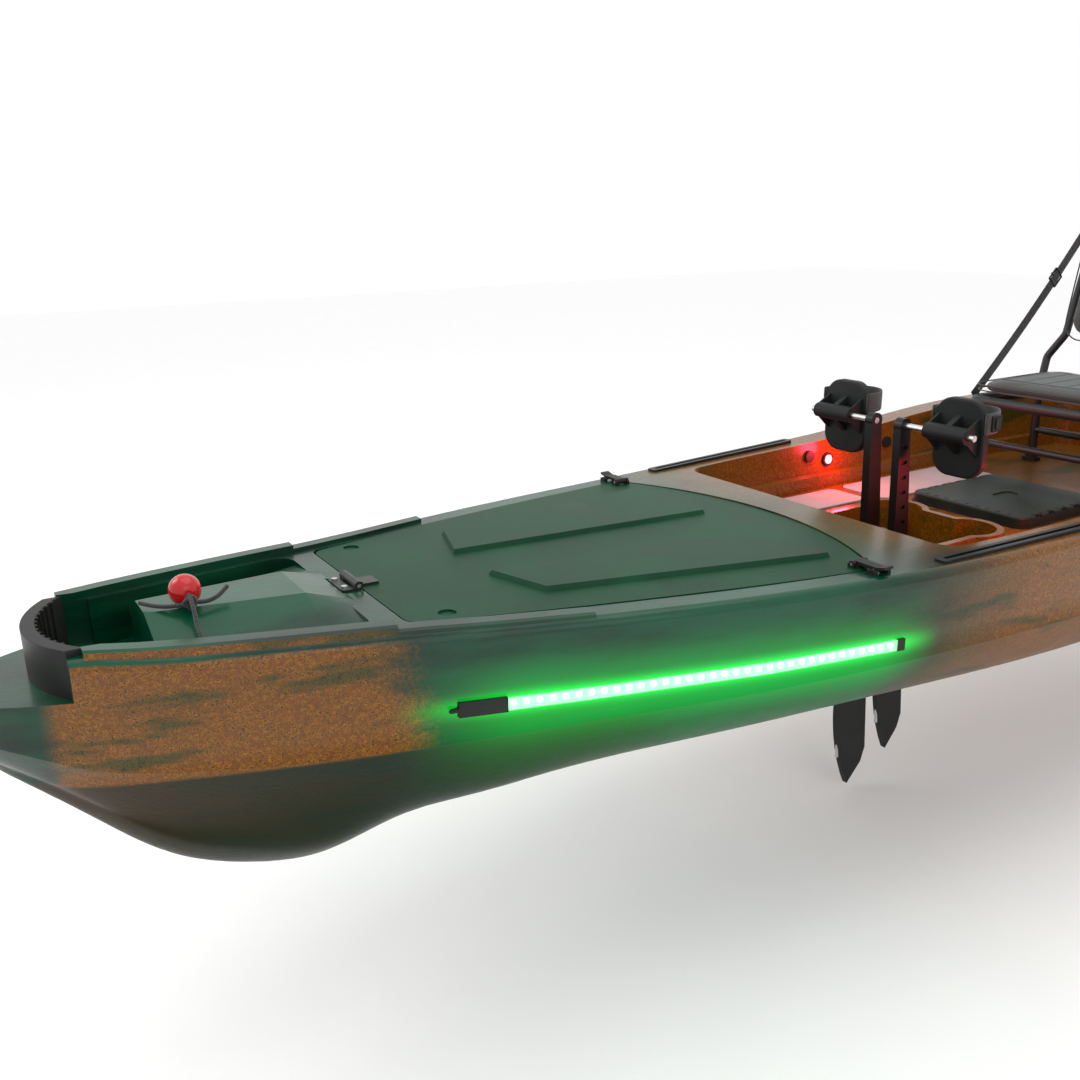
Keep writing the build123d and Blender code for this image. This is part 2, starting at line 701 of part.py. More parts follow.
with BuildPart() as latch_bases:
    for side in (1, -1):
        for end in (1, -1):
            ear_x = LATCH_X + end * (LATCH_WIDTH / 4 + 3.5)
            with BuildSketch(Plane(origin=(ear_x - 3, 0, 0), x_dir=(0, side, 0), z_dir=(side, 0, 0))):
                with Locations((LATCH_PIVOT_Y - 1, LATCH_FOOT + 2.5)):
                    Rectangle(13, 8)
                with Locations((LATCH_PIVOT_Y, LATCH_PIVOT_Z)):
                    Circle(5.5)
                    Circle(LATCH_PIN_RADIUS, mode=Mode.SUBTRACT)
            extrude(amount=side * 6)
    add(bow_lid.part, mode=Mode.SUBTRACT)
keep(latch_bases.part, "latch_bases")

with BuildPart() as latch_pins:
    for side in (1, -1):
        pivot = Vector(LATCH_X, side * LATCH_PIVOT_Y, LATCH_PIVOT_Z)
        with Locations(Plane(origin=pivot, x_dir=(0, 1, 0), z_dir=(1, 0, 0))):
            Cylinder(LATCH_PIN_RADIUS, LATCH_WIDTH / 2 + 13)
keep(latch_pins.part, "latch_pins")

with BuildPart() as latch_keepers:
    for side in (1, -1):
        for end in (1, -1):
            with Locations((LATCH_X + end * (LATCH_WIDTH / 4 + 4.5), side * LATCH_BAR_Y, LATCH_FOOT)):
                Box(7, 16, 14)
            with Locations((LATCH_X + end * (LATCH_WIDTH / 4 + 4.5), side * LATCH_BAR_Y, LATCH_PIVOT_Z + 5)):
                Box(8, 6.6, 16, mode=Mode.SUBTRACT)
    add(outer_form.part, mode=Mode.SUBTRACT)
keep(latch_keepers.part, "latch_keepers")

# Bow handle: a curved grip plate across the nose with finger ribs on its inner face
with BuildPart() as bow_handle:
    with BuildSketch(Plane.XY.offset(HANDLE_LOW_Z)):
        add(handle_plan(HANDLE_RADIUS).moved(Location((0, 0, HANDLE_LOW_Z))))
        add(handle_plan(HANDLE_RADIUS - HANDLE_THICK).moved(Location((0, 0, HANDLE_LOW_Z))), mode=Mode.SUBTRACT)
        with Locations((HANDLE_CENTRE_X, 0)):
            with PolarLocations(HANDLE_RADIUS - HANDLE_THICK, HANDLE_RIBS, start_angle=-36, angular_range=72):
                Rectangle(6, 5)
    extrude(amount=HANDLE_HIGH_Z - HANDLE_LOW_Z)
    fillet(bow_handle.faces().sort_by(Axis.Z)[-1].edges(), 1.5)
keep(bow_handle.part, "bow_handle")

# Gear tracks: slotted rails let into the gunwale tops beside the cockpit
with BuildPart() as gear_tracks:
    for side in (1, -1):
        plane, length = track_plane(side)
        add(track_blank(side))
        with BuildSketch(plane.offset(TRACK_HEIGHT)):
            SlotOverall(length - 24, TRACK_SLOT)
        extrude(amount=-4, mode=Mode.SUBTRACT)
        with BuildSketch(plane.offset(3)):
            SlotOverall(length - 17, TRACK_SLOT + 7)
        extrude(amount=3, mode=Mode.SUBTRACT)
keep(gear_tracks.part, "gear_tracks")

with BuildPart() as track_screws:
    for side in (1, -1):
        plane, length = track_plane(side)
        with BuildSketch(plane.offset(3)):
            with GridLocations((length - 60) / 4, 1, 5, 1):
                Circle(3.8)
        extrude(amount=2.4)

# Light strips: a clear sleeve on each side with a tape of chips inside, and a pod at each end
with BuildPart() as sleeve:
    add(strip_band(STRIP_AFT_X, STRIP_FRONT_X, (-STRIP_SINK, STRIP_DEPTH), STRIP_HEIGHT))
    add(strip_band(STRIP_AFT_X, STRIP_FRONT_X, (0, STRIP_DEPTH - 1.6), STRIP_HEIGHT - 4), mode=Mode.SUBTRACT)
keep(both_sides(sleeve.part), "light_sleeves")

with BuildPart() as tape:
    add(strip_band(STRIP_AFT_X, STRIP_FRONT_X, (0, 1), STRIP_HEIGHT - 6))
keep(both_sides(tape.part), "light_tapes")

with BuildPart() as chips:
    pitch = (STRIP_FRONT_X - STRIP_AFT_X) / STRIP_CHIPS
    for count in range(STRIP_CHIPS):
        x = STRIP_AFT_X + pitch * (count + 0.5)
        add(strip_band(x - 3, x + 3, (1.4, 3.2), 6, count=1))
keep(both_sides(chips.part), "light_chips")

with BuildPart() as end_pods:
    for x_from, x_to, margin in STRIP_SPANS[1:]:
        add(strip_band(x_from, x_to, (-STRIP_SINK, STRIP_DEPTH + 1), STRIP_HEIGHT + margin))
keep(both_sides(end_pods.part), "light_end_pods")


def rod(start, end, radius):
    """A straight round bar between two points."""
    path = Vector(*end) - Vector(*start)
    with BuildPart() as bar:
        with BuildSketch(Plane(origin=start, z_dir=path)):
            Circle(radius)
        extrude(amount=path.length)
    return bar.part


def tube_run(points, radius, bend):
    """A bent round tube along a list of points, with the same bend radius at each corner."""
    with BuildPart() as run:
        with BuildLine():
            route = FilletPolyline(*points, radius=bend)
        with BuildSketch(Plane(origin=route @ 0, z_dir=route % 0)):
            Circle(radius)
        sweep(path=route)
    return run.part


# Drive housing: flange on the well's floor, tower for the crank and lugs for the fin shaft below the keel
FIN_SHAFT_RADIUS = 6.0
FIN_SHAFT_X = (DRIVE_X - 103, DRIVE_X + 121)
with BuildPart() as drive_housing:
    add(block((DRIVE_X - SLOT_LENGTH / 2 + 4, DRIVE_X + SLOT_LENGTH / 2 - 4), (-25, 25), (-10, WELL_FLOOR_Z), 20))
    add(block((DRIVE_X - 152, DRIVE_X + 152), (-50, 50), (WELL_FLOOR_Z, WELL_FLOOR_Z + 8), 12))
    with BuildSketch(Plane.XZ.offset(-23)):
        with BuildLine():
            Polyline(
                (DRIVE_X - 95, WELL_FLOOR_Z + 8),
                (DRIVE_X - 40, CRANK_Z - 8),
                (DRIVE_X - 24, CRANK_Z + 18),
                (DRIVE_X + 24, CRANK_Z + 18),
                (DRIVE_X + 40, CRANK_Z - 8),
                (DRIVE_X + 95, WELL_FLOOR_Z + 8),
                close=True,
            )
        make_face()
    extrude(amount=46)
    with BuildSketch(Plane.XZ):
        with Locations((DRIVE_X, CRANK_Z)):
            Circle(AXLE_RADIUS)
    extrude(amount=60, both=True, mode=Mode.SUBTRACT)
    for lug_x in (FIN_SHAFT_X[0], DRIVE_X - 4, FIN_SHAFT_X[1] - 12):
        with BuildSketch(Plane.YZ.offset(lug_x)):
            with Locations((0, (FIN_AXIS_Z - 10) / 2)):
                Rectangle(26, -FIN_AXIS_Z - 10)
            with Locations((0, FIN_AXIS_Z)):
                Circle(13)
                Circle(FIN_SHAFT_RADIUS, mode=Mode.SUBTRACT)
        extrude(amount=12)
keep(drive_housing.part, "drive_housing")
keep(rod((FIN_SHAFT_X[0], 0, FIN_AXIS_Z), (FIN_SHAFT_X[1], 0, FIN_AXIS_Z), FIN_SHAFT_RADIUS), "fin_shaft")
keep(rod((DRIVE_X, -54, CRANK_Z), (DRIVE_X, 54, CRANK_Z), AXLE_RADIUS), "crank_axle")

# Flange bolts that hold the drive down
with BuildPart() as drive_bolts:
    with BuildSketch(Plane.XY.offset(WELL_FLOOR_Z + 8)):
        with Locations((DRIVE_X, 0)):
            with GridLocations(270, 74, 2, 2):
                RegularPolygon(7, 6)
    extrude(amount=6)
with BuildPart() as all_fasteners:
    add(deck_fasteners.part)
    add(track_screws.part)
    add(drive_bolts.part)
keep(all_fasteners.part, "deck_fasteners")

# Crank arms with their pedals, one each side
PEDAL_AXLE_X = DRIVE_X + 12
ARM_Y = (27.0, 45.0)
for side, name in ((1, "port"), (-1, "starboard")):
    side_plane = Plane(origin=(0, side * ARM_Y[0], 0), x_dir=(1, 0, 0), z_dir=(0, -1, 0))
    with BuildPart() as arm:
        with BuildSketch(side_plane):
            with Locations((DRIVE_X, CRANK_Z)):
                Circle(22)
            with Locations((PEDAL_AXLE_X, PEDAL_Z)):
                Circle(15)
            with BuildLine():
                Polyline(
                    (DRIVE_X - 20, CRANK_Z + 9),
                    (DRIVE_X + 20, CRANK_Z + 9),
                    (PEDAL_AXLE_X + 14, PEDAL_Z - 3),
                    (PEDAL_AXLE_X - 14, PEDAL_Z - 3),
                    close=True,
                )
            make_face()
            with Locations((DRIVE_X, CRANK_Z)):
                Circle(AXLE_RADIUS + RUNNING_GAP, mode=Mode.SUBTRACT)
            with Locations((PEDAL_AXLE_X, PEDAL_Z)):
                Circle(PEDAL_AXLE_RADIUS, mode=Mode.SUBTRACT)
        extrude(amount=-side * (ARM_Y[1] - ARM_Y[0]))
        # the adjuster slots down the arm's outer face
        with BuildSketch(side_plane.offset(-side * (ARM_Y[1] - ARM_Y[0]))):
            for step in range(6):
                share = (step + 1.6) / 8
                with Locations((between(share, DRIVE_X, PEDAL_AXLE_X), between(share, CRANK_Z, PEDAL_Z))):
                    SlotOverall(16, 7)
        extrude(amount=side * 4, mode=Mode.SUBTRACT)
    keep(arm.part, f"crank_arm_{name}")

    axle_end = side * (PEDAL_Y + PEDAL_WIDTH / 2 + 4)
    axle_start = side * ARM_Y[0]
    keep(rod((PEDAL_AXLE_X, axle_start, PEDAL_Z), (PEDAL_AXLE_X, axle_end, PEDAL_Z), PEDAL_AXLE_RADIUS),
         f"pedal_axle_{name}")

    # the pedal: a D-shaped plate behind a barrel that turns on the axle
    plate_x = PEDAL_AXLE_X - 46
    with BuildPart() as pedal:
        with BuildSketch(Plane.YZ.offset(plate_x)):
            with Locations((side * PEDAL_Y, PEDAL_Z - 12)):
                RectangleRounded(PEDAL_WIDTH, 150, 38)
        extrude(amount=16)
        fillet(pedal.edges().group_by(Axis.X)[-1], 5)
        with BuildSketch(Plane(origin=(0, side * PEDAL_Y, 0), x_dir=(1, 0, 0), z_dir=(0, -1, 0))):
            with Locations((PEDAL_AXLE_X, PEDAL_Z)):
                Circle(15)
            with BuildLine():
                Polyline(
                    (PEDAL_AXLE_X, PEDAL_Z + 15),
                    (plate_x + 12, PEDAL_Z + 34),
                    (plate_x + 12, PEDAL_Z - 46),
                    (PEDAL_AXLE_X, PEDAL_Z - 15),
                    close=True,
                )
            make_face()
            with Locations((PEDAL_AXLE_X, PEDAL_Z)):
                Circle(PEDAL_AXLE_RADIUS + RUNNING_GAP, mode=Mode.SUBTRACT)
        extrude(amount=PEDAL_WIDTH / 2 - 10, both=True)
        # the web is hollowed from above and below into three ribs
        for rib_y in (-24, 24):
            with Locations((plate_x + 30, side * PEDAL_Y + rib_y, PEDAL_Z)):
                Box(28, 36, 160, mode=Mode.SUBTRACT)
    keep(pedal.part, f"pedal_{name}")

    # the foot strap across the pedal's face
    with BuildPart() as strap:
        with BuildSketch(Plane.XY.offset(PEDAL_Z + 2)):
            with Locations((plate_x + 4, side * PEDAL_Y)):
                Ellipse(68, PEDAL_WIDTH / 2 + 5.5)
                Ellipse(65, PEDAL_WIDTH / 2 + 2.5, mode=Mode.SUBTRACT)
            with Locations((plate_x + 60, side * PEDAL_Y)):
                Rectangle(90, 200, mode=Mode.SUBTRACT)
        extrude(amount=42)
    keep(strap.part, f"pedal_strap_{name}")

# Fins: a rubber blade on a steel mast, each on a hub that turns on the fin shaft
for name, hub_x, tip_z, chord in (("front", DRIVE_X + 60, -353, 92), ("rear", DRIVE_X - 54, -302, 86)):
    lead_x = hub_x + 44
    with BuildPart() as hub:
        with BuildSketch(Plane.YZ.offset(hub_x)):
            with Locations((0, FIN_AXIS_Z)):
                Circle(12)
                Circle(FIN_SHAFT_RADIUS + RUNNING_GAP, mode=Mode.SUBTRACT)
        extrude(amount=44)
        with BuildSketch(Plane.XY.offset(FIN_AXIS_Z - 11)):
            with Locations((lead_x - 14, 0)):
                Circle(8)
        extrude(amount=-14)
    with BuildPart() as mast:
        add(hub.part)
        add(rod((lead_x - 14, 0, tip_z + 70), (lead_x - 14, 0, FIN_AXIS_Z - 16), 4))
    keep(mast.part, f"fin_mast_{name}")
    top_z = FIN_AXIS_Z - 25
    with BuildPart() as fin:
        with BuildSketch(Plane.XZ):
            with BuildLine():
                Polyline((lead_x - chord + 14, top_z - 8), (lead_x - chord + 30, top_z), (lead_x - 6, top_z),
                         (lead_x, top_z - 8))
                Line((lead_x, top_z - 8), (lead_x, tip_z + 195))
                TangentArc((lead_x, tip_z + 195), (lead_x - 44, tip_z), tangent=(0, -1))
                Line((lead_x - 44, tip_z), (lead_x - chord + 10, tip_z + 42))
                Line((lead_x - chord + 10, tip_z + 42), (lead_x - chord, tip_z + 74))
                Line((lead_x - chord, tip_z + 74), (lead_x - chord + 14, top_z - 8))
            make_face()
        extrude(amount=FIN_THICK / 2, both=True)
        with BuildSketch(Plane.XY.offset(top_z)):
            with Locations((lead_x - 14, 0)):
                Circle(4)
        extrude(amount=tip_z + 70 - top_z, mode=Mode.SUBTRACT)
    keep(fin.part, f"fin_{name}")

# Tackle hatch: a bin that hangs in the floor and a lid hinged on its starboard edge
BIN_LIP = 14.0
with BuildPart() as tackle_bin:
    add(block(BIN_X, BIN_Y, (BIN_FLOOR_Z, COCKPIT_FLOOR_Z), 20))
    add(block((BIN_X[0] - BIN_LIP, BIN_X[1] + BIN_LIP), (BIN_Y[0] - BIN_LIP, BIN_Y[1] + BIN_LIP),
              (COCKPIT_FLOOR_Z, COCKPIT_FLOOR_Z + 4), 26))
    add(block((BIN_X[0] + 3, BIN_X[1] - 3), (BIN_Y[0] + 3, BIN_Y[1] - 3), (BIN_FLOOR_Z + 3, COCKPIT_FLOOR_Z + 10), 17),
        mode=Mode.SUBTRACT)
keep(tackle_bin.part, "tackle_bin")

LID_LOW_Z = COCKPIT_FLOOR_Z + 4
with BuildPart() as tackle_lid:
    add(block((BIN_X[0] - 12, BIN_X[1] + 12), (BIN_Y[0] - 10, BIN_Y[1] + 12), (LID_LOW_Z, LID_LOW_Z + 20), 26))
    fillet(tackle_lid.edges().group_by(Axis.Z)[-1], 5)
    add(block((BIN_X[0] - 4, BIN_X[1] + 4), (BIN_Y[0] - 2, BIN_Y[1] + 4), (LID_LOW_Z, LID_LOW_Z + 14), 18),
        mode=Mode.SUBTRACT)
    # notches along both long edges and a finger recess in the middle
    with BuildSketch(Plane.XY.offset(LID_LOW_Z + 20)):
        for edge_y in (BIN_Y[0] - 10, BIN_Y[1] + 12):
            with Locations(((BIN_X[0] + BIN_X[1]) / 2, edge_y)):
                with GridLocations(44, 1, 5, 1):
                    RectangleRounded(20, 14, 4)
    extrude(amount=-7, mode=Mode.SUBTRACT)
    with BuildSketch(Plane.XY.offset(LID_LOW_Z + 20)):
        with Locations(((BIN_X[0] + BIN_X[1]) / 2, 0)):
            RectangleRounded(60, 34, 12)
    extrude(amount=-3, mode=Mode.SUBTRACT)
    with Locations(((BIN_X[0] + BIN_X[1]) / 2, BIN_Y[0] - 8, LID_LOW_Z + 5)):
        Box(150, 10, 10)
    with BuildSketch(Plane.YZ.offset((BIN_X[0] + BIN_X[1]) / 2)):
        with Locations((BIN_Y[0] - 18, LID_LOW_Z + 5)):
            Circle(5)
        with Locations((BIN_Y[0] - 14, LID_LOW_Z + 5)):
            Rectangle(8, 6)
    extrude(amount=75, both=True)
    with BuildSketch(Plane.YZ.offset((BIN_X[0] + BIN_X[1]) / 2)):
        with Locations((BIN_Y[0] - 18, LID_LOW_Z + 5)):
            Circle(2.55)
    extrude(amount=80, both=True, mode=Mode.SUBTRACT)
keep(tackle_lid.part, "tackle_lid")

with BuildPart() as tackle_hinge:
    for end in (-1, 1):
        with BuildSketch(Plane.YZ.offset((BIN_X[0] + BIN_X[1]) / 2 + end * 76)):
            with Locations((BIN_Y[0] - 18, LID_LOW_Z + 5)):
                Circle(5)
            with Locations((BIN_Y[0] - 22, COCKPIT_FLOOR_Z + 4)):
                Rectangle(16, 8)
            with Locations((BIN_Y[0] - 18, LID_LOW_Z + 5)):
                Circle(2.5, mode=Mode.SUBTRACT)
        extrude(amount=end * 14)
    add(tackle_bin.part, mode=Mode.SUBTRACT)
keep(tackle_hinge.part, "tackle_hinge")
middle_x = (BIN_X[0] + BIN_X[1]) / 2
hinge_line = (BIN_Y[0] - 18, LID_LOW_Z + 5)
with BuildPart() as all_pins:
    add(hinge_pins.part)
    add(rod((middle_x - 90, *hinge_line), (middle_x + 90, *hinge_line), 2.5))
keep(all_pins.part, "hinge_pins")

# Foam floor pads beside the drive and the tackle hatch
with BuildPart() as floor_pads:
    for side in (1, -1):
        add(block((-10, 330), (side * 255 - 55, side * 255 + 55), (COCKPIT_FLOOR_Z, COCKPIT_FLOOR_Z + 4), 22))
        add(block((-430, -40), (side * 245 - 70, side * 245 + 70), (COCKPIT_FLOOR_Z, COCKPIT_FLOOR_Z + 4), 22))
keep(floor_pads.part, "floor_pads")

# Courtesy lights and plugs in the cockpit walls
LIGHT_X = -40.0
LIGHT_Z = 262.0


def wall_plane(x, z, side):
    """A plane that stands just off the cockpit's upper side wall and faces inboard."""
    lean = 12 / RECESS_TOP
    y = gunwale_half(x) - GUNWALE_WIDTH - 12 + (z - LEDGE_Z) * lean - 0.6
    turn = (gunwale_half(x - 10) - gunwale_half(x + 10)) / 20
    return Plane(origin=(x, side * y, z), x_dir=(1, -side * turn, 0), z_dir=(-turn, -side, lean))


with BuildPart() as light_bezels:
    for side in (1, -1):
        with BuildSketch(wall_plane(LIGHT_X, LIGHT_Z, side)):
            Circle(16)
            Circle(10.5, mode=Mode.SUBTRACT)
        extrude(amount=6)
keep(light_bezels.part, "cockpit_light_bezels")

with BuildPart() as light_lenses:
    for side in (1, -1):
        with BuildSketch(wall_plane(LIGHT_X, LIGHT_Z, side)):
            Circle(10.5)
        extrude(amount=7.5)
    fillet(light_lenses.faces().sort_by(Axis.Y)[0].edges(), 2)
    fillet(light_lenses.faces().sort_by(Axis.Y)[-1].edges(), 2)
keep(light_lenses.part, "cockpit_light_lenses")

with BuildPart() as wall_plugs:
    for side in (1, -1):
        for x in (LIGHT_X + 60, LIGHT_X - 210):
            with BuildSketch(wall_plane(x, LIGHT_Z + 14, side)):
                Circle(14)
            extrude(amount=5)
keep(wall_plugs.part, "wall_plugs")

# Seat: a folding tube frame with a slung cushion and back, on four feet
SEAT_AFT_X = SEAT_BACK_X - 20
FOOT_Z = COCKPIT_FLOOR_Z
LEG_FRONT_X = SEAT_FRONT_X - 40
LEG_AFT_X = SEAT_BACK_X + 45
with BuildPart() as seat_frame:
    add(tube_run([(SEAT_AFT_X, 0, SEAT_Z), (SEAT_AFT_X, SEAT_HALF, SEAT_Z), (SEAT_FRONT_X, SEAT_HALF, SEAT_Z + 12),
                  (SEAT_FRONT_X, -SEAT_HALF, SEAT_Z + 12), (SEAT_AFT_X, -SEAT_HALF, SEAT_Z),
                  (SEAT_AFT_X, -1, SEAT_Z)], SEAT_TUBE, 36))
    for x in (LEG_FRONT_X, LEG_AFT_X):
        for side in (1, -1):
            add(rod((x, side * SEAT_HALF, FOOT_Z + 14), (x, side * SEAT_HALF, SEAT_Z + 4), SEAT_TUBE - 2))
        add(rod((x, -SEAT_HALF, FOOT_Z + 80), (x, SEAT_HALF, FOOT_Z + 80), SEAT_TUBE - 4))
    # ears that carry the back's pivot bolts
    for side in (1, -1):
        with BuildSketch(Plane.XZ.offset(-side * (SEAT_HALF + 13))):
            with Locations((SEAT_BACK_X, SEAT_Z + 14)):
                RectangleRounded(34, 52, 12)
            with Locations((SEAT_BACK_X, SEAT_Z + 26)):
                Circle(4, mode=Mode.SUBTRACT)
        extrude(amount=side * 4)
keep(seat_frame.part, "seat_frame")

with BuildPart() as seat_feet:
    for x in (LEG_FRONT_X, LEG_AFT_X):
        for side in (1, -1):
            with Locations((x, side * SEAT_HALF, FOOT_Z + 5)):
                Cylinder(22, 10)
            with Locations((x, side * SEAT_HALF, FOOT_Z + 19)):
                Cylinder(15, 18)
                Cylinder(SEAT_TUBE - 2, 10, mode=Mode.SUBTRACT)
    for x in (LEG_FRONT_X, LEG_AFT_X):
        for side in (1, -1):
            add(rod((x, side * SEAT_HALF, FOOT_Z + 14), (x, side * SEAT_HALF, FOOT_Z + 40), SEAT_TUBE - 2),
                mode=Mode.SUBTRACT)
    add(floor_pads.part, mode=Mode.SUBTRACT)
keep(seat_feet.part, "seat_feet")

PIVOT = (SEAT_BACK_X, SEAT_Z + 26)
BACK_HALF = SEAT_HALF + 1
BACK_PLANE = Plane(origin=(PIVOT[0], 0, PIVOT[1])).rotated((0, -BACK_LEAN, 0))


def on_back(along, across, up):
    """A point of the seat back: along is forward of its tubes, up is along them from the pivot."""
    return BACK_PLANE.from_local_coords(Vector(along, across, up))


BACK_LENGTH = (BACK_TOP_Z - PIVOT[1]) / math.cos(math.radians(BACK_LEAN)) - SEAT_TUBE
with BuildPart() as back_frame:
    corners = [(0, BACK_HALF + 26, 0), (0, BACK_HALF + 26, 60), (0, BACK_HALF - 10, 120),
               (0, BACK_HALF - 24, BACK_LENGTH), (0, 24 - BACK_HALF, BACK_LENGTH), (0, 10 - BACK_HALF, 120),
               (0, -BACK_HALF - 26, 60), (0, -BACK_HALF - 26, 0)]
    add(tube_run([on_back(*corner) for corner in corners], SEAT_TUBE - 3, 30))
    for side in (1, -1):
        with BuildSketch(Plane.XZ.offset(-side * (BACK_HALF + 16.5))):
            with Locations(PIVOT):
                Circle(13)
        extrude(amount=-side * 17)
        with BuildSketch(Plane.XZ.offset(-side * (BACK_HALF + 10))):
            with Locations(PIVOT):
                Circle(4.05)
        extrude(amount=-side * 40, mode=Mode.SUBTRACT)
    add(rod(on_back(0, 18 - BACK_HALF, 260), on_back(0, BACK_HALF - 18, 260), SEAT_TUBE - 5))
keep(back_frame.part, "seat_back_frame")

with BuildPart() as back_bolts:
    for side in (1, -1):
        head = (PIVOT[0], side * (SEAT_HALF + 4), PIVOT[1])
        seat = (PIVOT[0], side * (SEAT_HALF + 9), PIVOT[1])
        add(rod(head, seat, 8))
        add(rod(seat, (PIVOT[0], side * (SEAT_HALF + 40), PIVOT[1]), 4))
keep(back_bolts.part, "seat_back_bolts")

# Soft parts of the seat
with BuildPart() as seat_cushion:
    with BuildSketch(Plane.XY.offset(SEAT_Z + SEAT_TUBE + 14)):
        with Locations(((SEAT_FRONT_X + SEAT_BACK_X) / 2 + 14, 0)):
            RectangleRounded(SEAT_FRONT_X - SEAT_BACK_X - 10, 2 * SEAT_HALF + 10, 40)
    extrude(amount=SEAT_CUSHION_HEIGHT)
keep(seat_cushion.part, "seat_cushion")

with BuildPart() as back_cushion:
    with BuildSketch(Plane(origin=on_back(13, 0, 0), x_dir=(0, 1, 0), z_dir=BACK_PLANE.x_dir)):
        with Locations((0, (BACK_CUSHION_LOW + BACK_LENGTH - 16) / 2)):
            RectangleRounded(2 * BACK_HALF - 44, BACK_LENGTH - 16 - BACK_CUSHION_LOW, 46)
    extrude(amount=38)
keep(back_cushion.part, "seat_back_cushion")

# Webbing that holds the back up, from the frame's front corners to the top of the back
with BuildPart() as seat_straps:
    for side in (1, -1):
        low = Vector(SEAT_FRONT_X - 30, side * (SEAT_HALF + 16), SEAT_Z + 16)
        high = on_back(4, side * (BACK_HALF - 4), BACK_LENGTH - 60)
        along = high - low
        with BuildSketch(Plane(origin=low, x_dir=(0, 1, 0), z_dir=along)):
            Rectangle(3, 24)
        extrude(amount=along.length)
keep(seat_straps.part, "seat_straps")

# Toggle ball on its elastic cord, lying on the raised block
BALL_X = 1549.0
BALL_Y = 24.0
crest_low, crest_high = BLOCK_SECTIONS[1:]
crest_share = (BALL_X - crest_low[0]) / (crest_high[0] - crest_low[0])
CREST_Z = between(crest_share, crest_low[4], crest_high[4])
EAVES_Y = between(crest_share, crest_low[1], crest_high[1])
BALL_AT = Vector(BALL_X, BALL_Y, CREST_Z + BALL_RADIUS)
with BuildPart() as toggle_ball:
    with Locations(BALL_AT):
        Sphere(BALL_RADIUS)
        Cylinder(CORD_RADIUS, 3 * BALL_RADIUS, rotation=(90, 0, 0), mode=Mode.SUBTRACT)
keep(toggle_ball.part, "toggle_ball")

CORD_ROUTE = (
    (BALL_X, BALL_Y, BALL_AT.Z),
    (BALL_X, BALL_Y + 15, BALL_AT.Z),
    (BALL_X, BALL_Y + 30, BALL_AT.Z - 3.5),
    (BALL_X + 0.5, BALL_Y + 43, BALL_AT.Z - 12),
    (BALL_X + 1.5, BALL_Y + 54, CREST_Z - 1),
    (BALL_X + 2.5, EAVES_Y - 9, CREST_Z - 10),
    (BALL_X + 3, EAVES_Y + 4, CREST_Z - 16.5),
    (BALL_X + 4, EAVES_Y + 13.5, CREST_Z - 28.5),
    (BALL_X + 4, EAVES_Y + 18.5, CREST_Z - 44),
    (BALL_X + 4, EAVES_Y + 21, CREST_Z - 59.5),
    (BALL_X + 4, EAVES_Y + 21.5, TRAY_FLOOR_Z + 8),
)
TAIL_FORE_ROUTE = (
    (BALL_X + 7, BALL_Y + 22.5, BALL_AT.Z - 12.5),
    (BALL_X + 20, BALL_Y + 17, BALL_AT.Z - 14),
    (BALL_X + 33, BALL_Y + 8, BALL_AT.Z - 14.5),
    (BALL_X + 45, BALL_Y - 4, BALL_AT.Z - 14),
    (BALL_X + 56, BALL_Y - 17, BALL_AT.Z - 12),
)
TAIL_AFT_ROUTE = (
    (BALL_X - 7, BALL_Y + 23, BALL_AT.Z - 11.5),
    (BALL_X - 18, BALL_Y + 24, BALL_AT.Z - 13.5),
    (BALL_X - 31, BALL_Y + 22, BALL_AT.Z - 12.5),
    (BALL_X - 43, BALL_Y + 18, BALL_AT.Z - 8),
    (BALL_X - 53, BALL_Y + 14, BALL_AT.Z - 0.5),
)


def corner_radii(route):
    """A bend radius for each inner point: 0.45 of the shorter run over the tangent of half the turn."""
    radii = []
    for before, here, after in zip(route, route[1:], route[2:]):
        run_in = Vector(*here) - Vector(*before)
        run_out = Vector(*after) - Vector(*here)
        half_turn = math.radians(run_in.get_angle(run_out)) / 2
        radii.append(0.45 * min(run_in.length, run_out.length) / math.tan(half_turn))
    return radii


def cord(route, radius):
    """A round cord along a route, with each corner as wide as its runs allow."""
    radii = corner_radii(route)
    with BuildPart() as line:
        with BuildLine():
            path = FilletPolyline(*route, radius=radii)
        with BuildSketch(Plane(origin=path @ 0, z_dir=path % 0)):
            Circle(radius)
        sweep(path=path)
    print("cord radii", [round(value, 1) for value in radii])
    print("cord volume over section times length", line.part.volume / (math.pi * radius**2 * path.length))
    return line.part


keep(cord(CORD_ROUTE, CORD_RADIUS), "toggle_cord")
keep(cord(TAIL_FORE_ROUTE, CORD_RADIUS), "toggle_tail_fore")
keep(cord(TAIL_AFT_ROUTE, CORD_RADIUS), "toggle_tail_aft")
with BuildPart() as cord_anchor:
    with Locations((CORD_ROUTE[-1][0], CORD_ROUTE[-1][1], TRAY_FLOOR_Z + 4)):
        Cylinder(9, 8)
keep(cord_anchor.part, "toggle_cord_anchor")

# Stern handle: a moulded loop on the after deck
STERN_X = -NOSE_X + 92
with BuildPart() as stern_handle:
    deck = sheer(STERN_X)
    add(tube_run([(STERN_X, -62, deck - 1), (STERN_X + 1, -58, deck + 34), (STERN_X + 1, 58, deck + 34),
                  (STERN_X, 62, deck - 1)], 9, 22))
    with Locations((STERN_X, 62, deck + 2), (STERN_X, -62, deck + 2)):
        Box(38, 30, 8)
    add(outer_form.part, mode=Mode.SUBTRACT)
keep(stern_handle.part, "stern_handle")

